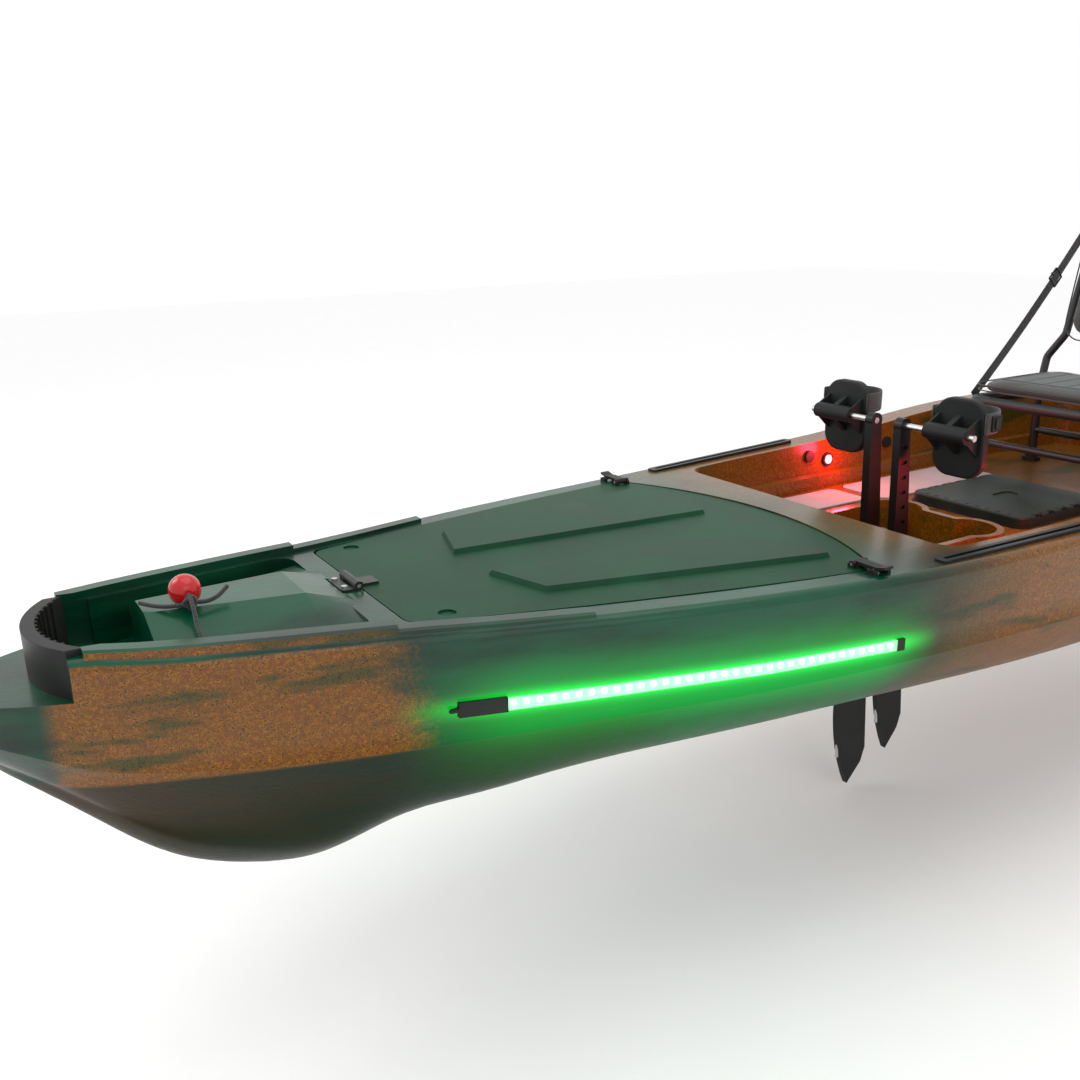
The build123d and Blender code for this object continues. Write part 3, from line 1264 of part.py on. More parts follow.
# Rudder: bracket on the stern, a head that steers and a blade that lifts
RUDDER_X = -NOSE_X + 9.25 - 30
RUDDER_LOW_Z = 176.0
RUDDER_HIGH_Z = 262.0
with BuildPart() as rudder_bracket:
    for z in (RUDDER_LOW_Z, RUDDER_HIGH_Z - 12):
        with BuildSketch(Plane.XY.offset(z)):
            with Locations((RUDDER_X + 20, 0)):
                Rectangle(44, 26)
            with Locations((RUDDER_X, 0)):
                Circle(13)
                Circle(RUDDER_PIN_RADIUS, mode=Mode.SUBTRACT)
        extrude(amount=12)
    with BuildSketch(Plane.XY.offset(RUDDER_LOW_Z)):
        with Locations((RUDDER_X + 27, 0)):
            Rectangle(10, 60)
    extrude(amount=RUDDER_HIGH_Z - RUDDER_LOW_Z)
    add(outer_form.part, mode=Mode.SUBTRACT)
keep(rudder_bracket.part, "rudder_bracket")
keep(rod((RUDDER_X, 0, RUDDER_LOW_Z - 6), (RUDDER_X, 0, RUDDER_HIGH_Z + 8), RUDDER_PIN_RADIUS), "rudder_pin")

HEAD_LOW_Z = RUDDER_LOW_Z + 12.5
HEAD_HIGH_Z = RUDDER_HIGH_Z - 12.5
BLADE_PIVOT = (RUDDER_X - 38, (HEAD_LOW_Z + HEAD_HIGH_Z) / 2)
with BuildPart() as rudder_head:
    with BuildSketch(Plane.XY.offset(HEAD_LOW_Z)):
        with Locations((RUDDER_X, 0)):
            Circle(13)
        with Locations((RUDDER_X - 28, 0)):
            Rectangle(56, 26)
        with Locations((RUDDER_X, 0)):
            Circle(RUDDER_PIN_RADIUS + RUNNING_GAP, mode=Mode.SUBTRACT)
        with Locations((RUDDER_X - 38, 0)):
            Rectangle(40, 12, mode=Mode.SUBTRACT)
    extrude(amount=HEAD_HIGH_Z - HEAD_LOW_Z)
    with BuildSketch(Plane.XZ):
        with Locations(BLADE_PIVOT):
            Circle(4)
    extrude(amount=20, both=True, mode=Mode.SUBTRACT)
keep(rudder_head.part, "rudder_head")
keep(rod((BLADE_PIVOT[0], -16, BLADE_PIVOT[1]), (BLADE_PIVOT[0], 16, BLADE_PIVOT[1]), 4), "rudder_blade_bolt")

with BuildPart() as rudder_blade:
    with BuildSketch(Plane.XZ):
        with BuildLine():
            Polyline(
                (BLADE_PIVOT[0] - 2, BLADE_PIVOT[1] + 14),
                (BLADE_PIVOT[0] + 14, BLADE_PIVOT[1] + 4),
                (BLADE_PIVOT[0] + 14, BLADE_PIVOT[1] - 60),
                (BLADE_PIVOT[0] + 4, -150),
                (BLADE_PIVOT[0] - 36, -205),
                (BLADE_PIVOT[0] - 78, -190),
                (BLADE_PIVOT[0] - 84, -120),
                (BLADE_PIVOT[0] - 66, 60),
                (BLADE_PIVOT[0] - 24, BLADE_PIVOT[1] - 30),
                close=True,
            )
        make_face()
        with Locations(BLADE_PIVOT):
            Circle(4.05, mode=Mode.SUBTRACT)
    extrude(amount=5.5, both=True)
keep(rudder_blade.part, "rudder_blade")

# Steering handle on the port gunwale, beside the seat
STEER_X = -560.0
STEER_Y = gunwale_half(STEER_X) - 33
STEER_Z = sheer(STEER_X)
with BuildPart() as steering_base:
    with BuildSketch(Plane.XY.offset(STEER_Z - 4)):
        with Locations((STEER_X, STEER_Y)):
            Circle(24)
    extrude(amount=12)
    add(outer_form.part, mode=Mode.SUBTRACT)
    with Locations((STEER_X, STEER_Y, STEER_Z + 16)):
        Cylinder(8, 34)
    add(outer_form.part, mode=Mode.SUBTRACT)
keep(steering_base.part, "steering_base")

with BuildPart() as steering_handle:
    with BuildSketch(Plane.XY.offset(STEER_Z + 8.5)):
        with Locations((STEER_X, STEER_Y)):
            Circle(17)
        with Locations((STEER_X + 45, STEER_Y)):
            Rectangle(90, 16)
        with Locations((STEER_X, STEER_Y)):
            Circle(8.05, mode=Mode.SUBTRACT)
    extrude(amount=14)
    with Locations((STEER_X + 88, STEER_Y, STEER_Z + 8.5)):
        Cylinder(11, 62, align=(Align.CENTER, Align.CENTER, Align.MIN))
    fillet(steering_handle.faces().sort_by(Axis.Z)[-1].edges(), 5)
keep(steering_handle.part, "steering_handle")
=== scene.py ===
"""The looks of a pedal-drive fishing kayak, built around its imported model.

Metres, in the model's own frame: +X to the bow, +Y to port, +Z up.
"""

import json
import logging
import math
from dataclasses import dataclass
from enum import Enum
from typing import Callable, Sequence

import bmesh
import bpy
from mathutils import Matrix, Vector

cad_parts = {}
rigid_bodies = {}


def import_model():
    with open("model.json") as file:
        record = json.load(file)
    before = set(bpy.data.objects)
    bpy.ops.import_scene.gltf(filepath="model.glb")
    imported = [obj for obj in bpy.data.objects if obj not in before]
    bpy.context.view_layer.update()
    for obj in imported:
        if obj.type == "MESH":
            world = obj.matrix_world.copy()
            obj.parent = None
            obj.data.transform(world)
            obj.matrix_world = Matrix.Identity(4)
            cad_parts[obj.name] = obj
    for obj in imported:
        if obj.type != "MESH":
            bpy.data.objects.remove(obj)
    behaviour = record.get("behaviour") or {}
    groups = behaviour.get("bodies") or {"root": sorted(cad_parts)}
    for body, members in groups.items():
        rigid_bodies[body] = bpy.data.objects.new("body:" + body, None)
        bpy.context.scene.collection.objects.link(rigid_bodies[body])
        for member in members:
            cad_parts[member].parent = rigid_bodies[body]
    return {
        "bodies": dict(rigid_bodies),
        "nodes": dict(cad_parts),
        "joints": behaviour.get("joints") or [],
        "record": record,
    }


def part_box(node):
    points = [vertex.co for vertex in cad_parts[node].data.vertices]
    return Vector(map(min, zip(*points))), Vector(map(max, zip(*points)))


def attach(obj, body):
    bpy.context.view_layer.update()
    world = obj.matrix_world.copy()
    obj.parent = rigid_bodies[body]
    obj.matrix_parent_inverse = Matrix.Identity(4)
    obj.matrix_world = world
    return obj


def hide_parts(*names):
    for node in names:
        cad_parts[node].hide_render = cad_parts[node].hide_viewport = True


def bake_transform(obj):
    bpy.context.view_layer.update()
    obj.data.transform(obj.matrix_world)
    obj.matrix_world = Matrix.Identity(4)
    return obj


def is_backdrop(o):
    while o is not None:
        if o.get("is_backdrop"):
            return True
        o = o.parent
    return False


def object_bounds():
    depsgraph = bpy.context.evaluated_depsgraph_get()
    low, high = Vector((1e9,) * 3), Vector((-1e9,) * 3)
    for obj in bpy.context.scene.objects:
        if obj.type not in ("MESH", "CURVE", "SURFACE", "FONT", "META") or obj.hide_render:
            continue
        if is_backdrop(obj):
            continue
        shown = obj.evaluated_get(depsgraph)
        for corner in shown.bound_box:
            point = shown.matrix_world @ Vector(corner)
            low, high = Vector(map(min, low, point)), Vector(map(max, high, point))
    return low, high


log = logging.getLogger("kayak")
Colour = tuple[float, float, float]
Point = tuple[float, float, float]


class Side(Enum):
    """Which side of the centre line a piece is on, as its sign along Y."""

    PORT = 1
    STARBOARD = -1

    @property
    def word(self) -> str:
        """The side's name in node names."""
        return self.name.lower()


class Weave(Enum):
    """How a woven finish is drawn."""

    WEBBING = "webbing"
    CANVAS = "canvas"


# ---------------------------------------------------------------- shader maths


class Value:
    """A number on a shader socket. Arithmetic on it adds Math nodes."""

    def __init__(self, graph: "Graph", socket: bpy.types.NodeSocket) -> None:
        """Wraps a socket of the graph."""
        self.graph = graph
        self.socket = socket

    def _math(self, operation: str, *operands: "Value | float") -> "Value":
        """Adds a Math node.

        Args:
            operation: the node's operation.
            operands: its inputs, values or plain numbers.

        Returns:
            The node's result.
        """
        node = self.graph.node("ShaderNodeMath", {"operation": operation}, dict(enumerate(operands)))
        return Value(self.graph, node.outputs[0])

    def __add__(self, other: "Value | float") -> "Value":
        """Self plus other."""
        return self._math("ADD", self, other)

    __radd__ = __add__

    def __sub__(self, other: "Value | float") -> "Value":
        """Self minus other."""
        return self._math("SUBTRACT", self, other)

    def __rsub__(self, other: "Value | float") -> "Value":
        """Other minus self."""
        return self._math("SUBTRACT", other, self)

    def __mul__(self, other: "Value | float") -> "Value":
        """Self times other."""
        return self._math("MULTIPLY", self, other)

    __rmul__ = __mul__

    def __truediv__(self, other: "Value | float") -> "Value":
        """Self divided by other."""
        return self._math("DIVIDE", self, other)

    def __pow__(self, other: "Value | float") -> "Value":
        """Self to the power of other."""
        return self._math("POWER", self, other)

    def most(self, other: "Value | float") -> "Value":
        """The greater of the two."""
        return self._math("MAXIMUM", self, other)

    def size(self) -> "Value":
        """The absolute value."""
        return self._math("ABSOLUTE", self)

    def wave(self) -> "Value":
        """The sine."""
        return self._math("SINE", self)

    def ramp(self, low: float, high: float) -> "Value":
        """0 below low, 1 above high and smooth between them."""
        inputs = {"Value": self, "From Min": low, "From Max": high}
        node = self.graph.node("ShaderNodeMapRange", {"interpolation_type": "SMOOTHSTEP"}, inputs)
        return Value(self.graph, node.outputs[0])


class Graph:
    """A material's node tree with its surface shader."""

    def __init__(self, name: str) -> None:
        """Starts a material of that name."""
        self.material = bpy.data.materials.new(name)
        self.material.use_nodes = True
        self.tree = self.material.node_tree
        self.shader = self.tree.nodes["Principled BSDF"]
        self.place = self.node("ShaderNodeTexCoord", {}, {}).outputs["Object"]

    def node(self, kind: str, settings: dict, inputs: dict) -> bpy.types.Node:
        """Adds any node.

        Args:
            kind: the node's type.
            settings: attributes that are set first.
            inputs: values or links by socket name or number.

        Returns:
            The node.
        """
        node = self.tree.nodes.new(kind)
        for key, value in settings.items():
            setattr(node, key, value)
        for key, value in inputs.items():
            self._feed(node.inputs[key], value)
        return node

    def _feed(self, socket: bpy.types.NodeSocket, value: object) -> None:
        """Links a value or socket to the socket, or sets it to a number or colour."""
        if isinstance(value, Value):
            self.tree.links.new(value.socket, socket)
        elif isinstance(value, bpy.types.NodeSocket):
            self.tree.links.new(value, socket)
        elif isinstance(value, tuple) and len(value) == 3 and socket.type == "RGBA":
            socket.default_value = (*value, 1.0)
        else:
            socket.default_value = value

    def axes(self) -> tuple[Value, Value, Value]:
        """The place on the object along X, Y and Z, in metres."""
        split = self.node("ShaderNodeSeparateXYZ", {}, {0: self.place})
        return Value(self, split.outputs[0]), Value(self, split.outputs[1]), Value(self, split.outputs[2])

    def noise(self, scale: float, detail: float = 3.0, rough: float = 0.55, stretch: Point = (1, 1, 1)) -> Value:
        """Smooth noise from 0 to 1.

        Args:
            scale: how many features fit in a metre.
            detail: octaves.
            rough: how strong the finer octaves are.
            stretch: how much finer it is along each axis.

        Returns:
            The noise.
        """
        place = self.node("ShaderNodeMapping", {}, {"Vector": self.place, "Scale": stretch}).outputs[0]
        inputs = {"Vector": place, "Scale": scale, "Detail": detail, "Roughness": rough}
        return Value(self, self.node("ShaderNodeTexNoise", {}, inputs).outputs[0])

    def mix(self, share: Value | float, low: object, high: object) -> bpy.types.NodeSocket:
        """A colour part of the way from low to high."""
        inputs = {0: share, 6: low, 7: high}
        return self.node("ShaderNodeMix", {"data_type": "RGBA"}, inputs).outputs[2]

    def bump(self, height: Value, depth: float) -> None:
        """Raises the surface's shading by a height of depth metres."""
        bump = self.node("ShaderNodeBump", {}, {"Height": height, "Distance": depth, "Strength": 1.0})
        self.surface({"Normal": bump.outputs[0]})

    def surface(self, inputs: dict) -> None:
        """Feeds the surface shader's sockets."""
        for key, value in inputs.items():
            self._feed(self.shader.inputs[key], value)


# ---------------------------------------------------------------- finishes


@dataclass(frozen=True)
class Moulded:
    """Moulded plastic or rubber with a fine grain and slightly uneven gloss."""

    name: str
    colour: Colour
    roughness: float = 0.5
    grain: float = 900.0
    depth: float = 0.00025
    tint: Colour = (1.3, 1.3, 1.3)
    coat: float = 0.0

    def make(self) -> bpy.types.Material:
        """Builds the material."""
        graph = Graph(self.name)
        broad = graph.noise(7.0, 4.0)
        fine = graph.noise(self.grain, 2.0)
        light = tuple(min(1.0, part * gain + 0.004) for part, gain in zip(self.colour, self.tint))
        graph.surface(
            {
                "Base Color": graph.mix(broad.ramp(0.35, 0.75), self.colour, light),
                "Roughness": broad * 0.16 + fine * 0.08 + (self.roughness - 0.12),
                "Specular IOR Level": 0.18,
                "Coat Weight": self.coat,
                "Coat Roughness": 0.12,
            }
        )
        graph.bump(fine + broad * 2.0, self.depth)
        return graph.material


@dataclass(frozen=True)
class Metal:
    """Bare or coated metal with fine drawn lines."""

    name: str
    colour: Colour
    roughness: float = 0.32
    metallic: float = 1.0
    lines: Point = (1.0, 1.0, 24.0)

    def make(self) -> bpy.types.Material:
        """Builds the material."""
        graph = Graph(self.name)
        drawn = graph.noise(160.0, 3.0, 0.6, self.lines)
        broad = graph.noise(12.0, 3.0)
        bright = tuple(min(1.0, part * 1.35 + 0.01) for part in self.colour)
        graph.surface(
            {
                "Base Color": graph.mix(broad, self.colour, bright),
                "Metallic": self.metallic,
                "Roughness": drawn * 0.2 + broad * 0.1 + (self.roughness - 0.15),
            }
        )
        graph.bump(drawn, 0.00012)
        return graph.material


@dataclass(frozen=True)
class Woven:
    """Woven cloth or webbing with crossing threads that show in its relief."""

    name: str
    colour: Colour
    weave: Weave = Weave.CANVAS
    pitch: float = 0.0016
    roughness: float = 0.82

    def make(self) -> bpy.types.Material:
        """Builds the material."""
        graph = Graph(self.name)
        x, y, z = graph.axes()
        turn = 2.0 * math.pi / self.pitch
        if self.weave is Weave.WEBBING:
            threads = ((x + z) * turn).wave() * 0.3 + ((y * 1.7 + z) * turn * 0.5).wave() * 0.3 + 0.5
        else:
            threads = (x * turn).wave() * 0.25 + (y * turn).wave() * 0.25 + (z * turn).wave() * 0.25 + 0.5
        cloudy = graph.noise(9.0, 4.0)
        # painted highlight: the colour is lighter along the raised threads, and the cloudy noise varies it at random
        light = tuple(min(1.0, part * 2.3 + 0.012) for part in self.colour)
        graph.surface(
            {
                "Base Color": graph.mix((threads * 0.6 + cloudy * 0.5).ramp(0.15, 1.0), self.colour, light),
                "Roughness": cloudy * 0.12 + (self.roughness - 0.06),
                "Sheen Weight": 0.25,
                "Sheen Roughness": 0.5,
            }
        )
        graph.bump(threads + graph.noise(260.0, 2.0) * 0.4, 0.0005)
        return graph.material


@dataclass(frozen=True)
class HullPlastic:
    """Rotomoulded hull plastic: brown granules at the bow and aft, teal between that is partly painted green strip
    light, and a painted green glow where the strips' light falls.
    """

    name: str
    strip_low: Point
    strip_high: Point
    brown: Colour = (0.120, 0.037, 0.002)
    ochre: Colour = (0.335, 0.125, 0.006)
    olive: Colour = (0.058, 0.044, 0.002)
    dark: Colour = (0.009, 0.009, 0.002)
    teal: Colour = (0.0, 0.062, 0.026)
    deep_teal: Colour = (0.0, 0.012, 0.007)
    # the green of the painted strip light that the plastic gives off
    glow: Colour = (0.0, 1.0, 0.04)

    def make(self) -> bpy.types.Material:
        """Builds the material."""
        graph = Graph(self.name)
        x, y, z = graph.axes()
        normal = graph.node("ShaderNodeNewGeometry", {}, {}).outputs["Normal"]
        facing = graph.node("ShaderNodeSeparateXYZ", {}, {"Vector": normal})
        up = Value(graph, facing.outputs["Z"])
        outward = (Value(graph, facing.outputs["Y"]) * y).ramp(0.0, 0.02)
        patches = graph.noise(2.1, 5.0, 0.62, (0.8, 1.4, 2.2))
        smears = graph.noise(5.0, 4.0, 0.6, (0.5, 1.0, 2.4))
        granules = graph.noise(430.0, 2.0, 0.7)
        coarse = graph.noise(150.0, 3.0, 0.6)
        speckle = granules * 0.55 + coarse * 0.45
        brown = graph.mix(speckle.ramp(0.43, 0.58), self.brown, self.ochre)
        brown = graph.mix((smears.ramp(0.50, 0.68) * 0.7 + speckle * 0.3).ramp(0.30, 0.75), brown, self.olive)
        brown = graph.mix((granules + coarse * 0.35).ramp(0.70, 0.77) * 0.9, brown, self.dark)
        # the teal is partly the plastic's colour and partly painted green light from the strips
        teal = graph.mix((smears + patches * 0.5).ramp(0.55, 0.95), self.teal, self.deep_teal)
        sides = outward * (1.0 - up.ramp(0.30, 0.62))
        base = graph.mix(self._brown_share(x, z, sides, patches, speckle), teal, brown)
        # under the chine the colour turns to dark olive, lighter towards the stem, and is kept this dark as painted
        # shade under the hull
        under = (1.0 - (z + smears * 0.006).ramp(0.150, 0.160)) * (x + smears * 0.2).ramp(0.95, 1.15)
        keel_and_painted_shade = graph.mix((x * 0.8 + smears * 0.6).ramp(1.35, 1.75), (0.001, 0.013, 0.002), (0.026, 0.013, 0.001))
        keel_and_painted_shade = graph.mix(granules.ramp(0.55, 0.75) * 0.5, keel_and_painted_shade, self.dark)
        base = graph.mix(under, base, keel_and_painted_shade)
        # painted light: the plastic glows green where the strips' light would fall on it
        painted_glow_share = self._nearness(x, z)
        graph.surface(
            {
                "Base Color": base,
                "Roughness": granules * 0.10 + graph.noise(16.0, 3.0) * 0.14 + 0.22,
                "Specular IOR Level": 0.16,
                "Coat Weight": z.ramp(0.15, 0.20) * 0.45,
                "Coat Roughness": 0.16,
                "Emission Color": graph.mix(painted_glow_share, (0.0, 0.0, 0.0), self.glow),
                "Emission Strength": 1.0,
            }
        )
        graph.bump(granules * 0.6 + graph.noise(120.0, 3.0) * 0.8, 0.00045)
        return graph.material

    def _brown_share(self, x: Value, z: Value, sides: Value, patches: Value, speckle: Value) -> Value:
        """Where the brown granules show: a panel on each side of the bow, and the hull aft of the strips."""
        soft = patches * 0.22 + speckle * 0.16
        fore = (x + soft).ramp(1.48, 1.56) * (1.0 - (x + speckle * 0.02).ramp(1.735, 1.765))
        bow = fore * sides * (z + speckle * 0.004).ramp(0.150, 0.156)
        aft = 1.0 - (x + soft * 1.3).ramp(0.52, 0.86)
        return bow.most(aft)

    def _nearness(self, x: Value, z: Value) -> Value:
        """How close a place is to a light strip, from 0 to 1: the share of painted green strip light that the
        plastic glows with.
        """
        fore = self.strip_high[0]
        aft = self.strip_low[0]
        along = (x - aft) / (fore - aft)
        line = along * (self.strip_high[2] - self.strip_low[2]) + self.strip_low[2]
        above = z - line
        within = x.ramp(aft - 0.10, aft + 0.04) * (1.0 - x.ramp(fore - 0.05, fore + 0.16))
        close = (1.0 - above.size().ramp(0.0, 0.034)) ** 2.0
        halo = (1.0 - above.size().ramp(0.0, 0.115)) ** 2.0 * 0.28
        spill = (1.0 - (line - z).ramp(0.0, 0.26)) ** 2.0 * (line - z).ramp(-0.02, 0.03) * 0.16
        return (close + halo + spill) * within


@dataclass(frozen=True)
class FoamSheet:
    """Closed-cell foam with rows of small round dimples, with painted shade in the dimples."""

    name: str
    colour: Colour
    pitch: float = 0.007

    def make(self) -> bpy.types.Material:
        """Builds the material."""
        graph = Graph(self.name)
        x, y, _ = graph.axes()
        turn = 2.0 * math.pi / self.pitch
        dots = ((x + y) * turn * 0.7).wave() * ((x - y) * turn * 0.7).wave()
        dimples = dots.ramp(0.35, 0.7)
        cloudy = graph.noise(6.0, 4.0)
        # painted shade in the dimples, and random cloudy patches of a deeper tone
        shade_and_tone = tuple(part * 0.45 for part in self.colour)
        graph.surface(
            {
                "Base Color": graph.mix(dimples * 0.7 + cloudy.ramp(0.5, 0.8) * 0.25, self.colour, shade_and_tone),
                "Roughness": cloudy * 0.1 + 0.78,
            }
        )
        graph.bump(1.0 - dimples + graph.noise(400.0, 2.0) * 0.2, 0.0006)
        return graph.material


@dataclass(frozen=True)
class Lit:
    """A part that gives light, with a brighter heart."""

    name: str
    colour: Colour
    emission: Colour
    strength: float
    roughness: float = 0.25

    def make(self) -> bpy.types.Material:
        """Builds the material."""
        graph = Graph(self.name)
        grain = graph.noise(400.0, 2.0)
        graph.surface(
            {
                "Base Color": self.colour,
                "Roughness": grain * 0.1 + self.roughness,
                "Emission Color": graph.mix(grain * 0.25, self.emission, (1.0, 1.0, 1.0)),
                "Emission Strength": self.strength,
            }
        )
        return graph.material


@dataclass(frozen=True)
class ClearSleeve:
    """A clear silicone sleeve lit green from inside."""

    name: str
    glow: Colour = (0.05, 1.0, 0.12)

    def make(self) -> bpy.types.Material:
        """Builds the material."""
        graph = Graph(self.name)
        cloudy = graph.noise(60.0, 3.0)
        graph.surface(
            {
                "Base Color": (0.55, 1.0, 0.62),
                "Roughness": cloudy * 0.15 + 0.12,
                "Alpha": cloudy * 0.12 + 0.30,
                "Emission Color": graph.mix(cloudy, self.glow, (0.2, 1.0, 0.3)),
                "Emission Strength": 1.6,
            }
        )
        return graph.material


# ---------------------------------------------------------------- meshes


def mesh_piece(
    name: str, verts: Sequence[Point], faces: Sequence[Sequence[int]], smooth: bool = True
) -> bpy.types.Object:
    """Makes a mesh object.

    Args:
        name: the object's name.
        verts: its points, in metres.
        faces: its faces, as indexes of points.
        smooth: whether its shading is smooth.

    Returns:
        The object, in the scene.
    """
    mesh = bpy.data.meshes.new(name)
    mesh.from_pydata([tuple(vert) for vert in verts], [], [tuple(face) for face in faces])
    form = bmesh.new()
    form.from_mesh(mesh)
    bmesh.ops.recalc_face_normals(form, faces=form.faces)
    form.to_mesh(mesh)
    form.free()
    for polygon in mesh.polygons:
        polygon.use_smooth = smooth
    piece = bpy.data.objects.new(name, mesh)
    bpy.context.scene.collection.objects.link(piece)
    return piece


def apply_modifiers(piece: bpy.types.Object) -> bpy.types.Object:
    """Turns the piece's modified form into its own mesh."""
    graph = bpy.context.evaluated_depsgraph_get()
    mesh = bpy.data.meshes.new_from_object(piece.evaluated_get(graph), depsgraph=graph)
    piece.modifiers.clear()
    piece.data = mesh
    return piece


def modify(piece: bpy.types.Object, kind: str, **settings: object) -> bpy.types.Object:
    """Adds a modifier of that kind with its settings."""
    modifier = piece.modifiers.new(kind.lower(), kind)
    for key, value in settings.items():
        setattr(modifier, key, value)
    return piece


def join(name: str, pieces: Sequence[bpy.types.Object]) -> bpy.types.Object:
    """Joins several meshes into one object of that name, keeping their modified forms."""
    joined = bmesh.new()
    graph = bpy.context.evaluated_depsgraph_get()
    for piece in pieces:
        part = bpy.data.meshes.new_from_object(piece.evaluated_get(graph), depsgraph=graph)
        part.transform(piece.matrix_world)
        joined.from_mesh(part)
        bpy.data.meshes.remove(part)
    mesh = bpy.data.meshes.new(name)
    joined.to_mesh(mesh)
    joined.free()
    for piece in pieces:
        bpy.data.objects.remove(piece)
    whole = bpy.data.objects.new(name, mesh)
    bpy.context.scene.collection.objects.link(whole)
    for polygon in mesh.polygons:
        polygon.use_smooth = True
    return whole


def nurbs(
    name: str, points: Sequence[Point], closed: bool = False, radius: float = 0.0
) -> bpy.types.Object:
    """A smooth round line through space.

    Args:
        name: the object's name.
        points: its control points.
        closed: whether it is a loop.
        radius: its half thickness; 0 leaves a bare line.

    Returns:
        The curve object.
    """
    curve = bpy.data.curves.new(name, "CURVE")
    curve.dimensions = "3D"
    curve.resolution_u = 8
    curve.bevel_depth = radius
    curve.bevel_resolution = 4
    curve.use_fill_caps = not closed
    spline = curve.splines.new("NURBS")
    spline.points.add(len(points) - 1)
    for target, place in zip(spline.points, points):
        target.co = (*place, 1.0)
    spline.order_u = 3
    spline.use_endpoint_u = not closed
    spline.use_cyclic_u = closed
    piece = bpy.data.objects.new(name, curve)
    bpy.context.scene.collection.objects.link(piece)
    return piece


def line_of(curve: bpy.types.Object) -> list[Vector]:
    """The points along a bare curve."""
    graph = bpy.context.evaluated_depsgraph_get()
    mesh = bpy.data.meshes.new_from_object(curve.evaluated_get(graph), depsgraph=graph)
    points = [vert.co.copy() for vert in mesh.vertices]
    bpy.data.meshes.remove(mesh)
    return points


def ribbon(
    name: str, path: Sequence[Vector], across: Callable[[Vector, Vector], Vector], width: float, thickness: float
) -> bpy.types.Object:
    """A flat strap that follows a path.

    Args:
        name: the object's name.
        path: the points of its middle line.
        across: gives the direction of its width from a place and its heading.
        width: the strap's width.
        thickness: the strap's thickness.

    Returns:
        The strap, a closed mesh with slightly crowned faces.
    """
    shares = (-1.0, -0.86, -0.45, 0.0, 0.45, 0.86, 1.0)
    crown = (0.25, 0.9, 1.0, 1.0, 1.0, 0.9, 0.25)
    ring = [(s, c) for s, c in zip(shares, crown)] + [(s, -c) for s, c in zip(reversed(shares), reversed(crown))]
    verts: list[Vector] = []
    for index, place in enumerate(path):
        before = path[max(0, index - 1)]
        after = path[min(len(path) - 1, index + 1)]
        heading = (after - before).normalized()
        side = across(place, heading)
        side = (side - heading * side.dot(heading)).normalized()
        up = heading.cross(side).normalized()
        verts += [place + side * (s * width / 2) + up * (c * thickness / 2) for s, c in ring]
    count = len(ring)
    faces: list[tuple[int, ...]] = []
    for row in range(len(path) - 1):
        for step in range(count):
            a = row * count + step
            b = row * count + (step + 1) % count
            faces.append((a, b, b + count, a + count))
    faces.append(tuple(range(count)))
    faces.append(tuple(range(len(verts) - count, len(verts))))
    return mesh_piece(name, verts, faces)


def rounded_plate(
    name: str, outline: Sequence[tuple[float, float]], depth: float, bevel: float
) -> bpy.types.Object:
    """A plate of an outline in its own XY plane, rounded at its edges, rising from z 0 to depth."""
    count = len(outline)
    verts = [(x, y, 0.0) for x, y in outline] + [(x, y, depth) for x, y in outline]
    faces: list[tuple[int, ...]] = [tuple(range(count)), tuple(range(count, 2 * count))]
    faces += [(i, (i + 1) % count, (i + 1) % count + count, i + count) for i in range(count)]
    plate = mesh_piece(name, verts, faces, smooth=False)
    modify(plate, "BEVEL", width=bevel, segments=3, limit_method="ANGLE", angle_limit=math.radians(50))
    return plate


def rounded_rectangle(width: float, height: float, radius: float, steps: int = 5) -> list[tuple[float, float]]:
    """The outline of a rectangle with round corners, centred on the origin."""
    points = []
    corners = ((1, 1, 0), (-1, 1, 90), (-1, -1, 180), (1, -1, 270))
    for sx, sy, start in corners:
        cx = sx * (width / 2 - radius)
        cy = sy * (height / 2 - radius)
        for step in range(steps + 1):
            turn = math.radians(start + 90 * step / steps)
            points.append((cx + radius * math.cos(turn), cy + radius * math.sin(turn)))
    return points


def place(piece: bpy.types.Object, at: Point, x_axis: Point, z_axis: Point) -> bpy.types.Object:
    """Puts a piece at a place, with its own X and Z along the given directions."""
    z = Vector(z_axis).normalized()
    x = Vector(x_axis)
    x = (x - z * x.dot(z)).normalized()
    y = z.cross(x)
    turn = Matrix((x, y, z)).transposed().to_4x4()
    piece.matrix_world = Matrix.Translation(at) @ turn
    return piece


# ---------------------------------------------------------------- studio


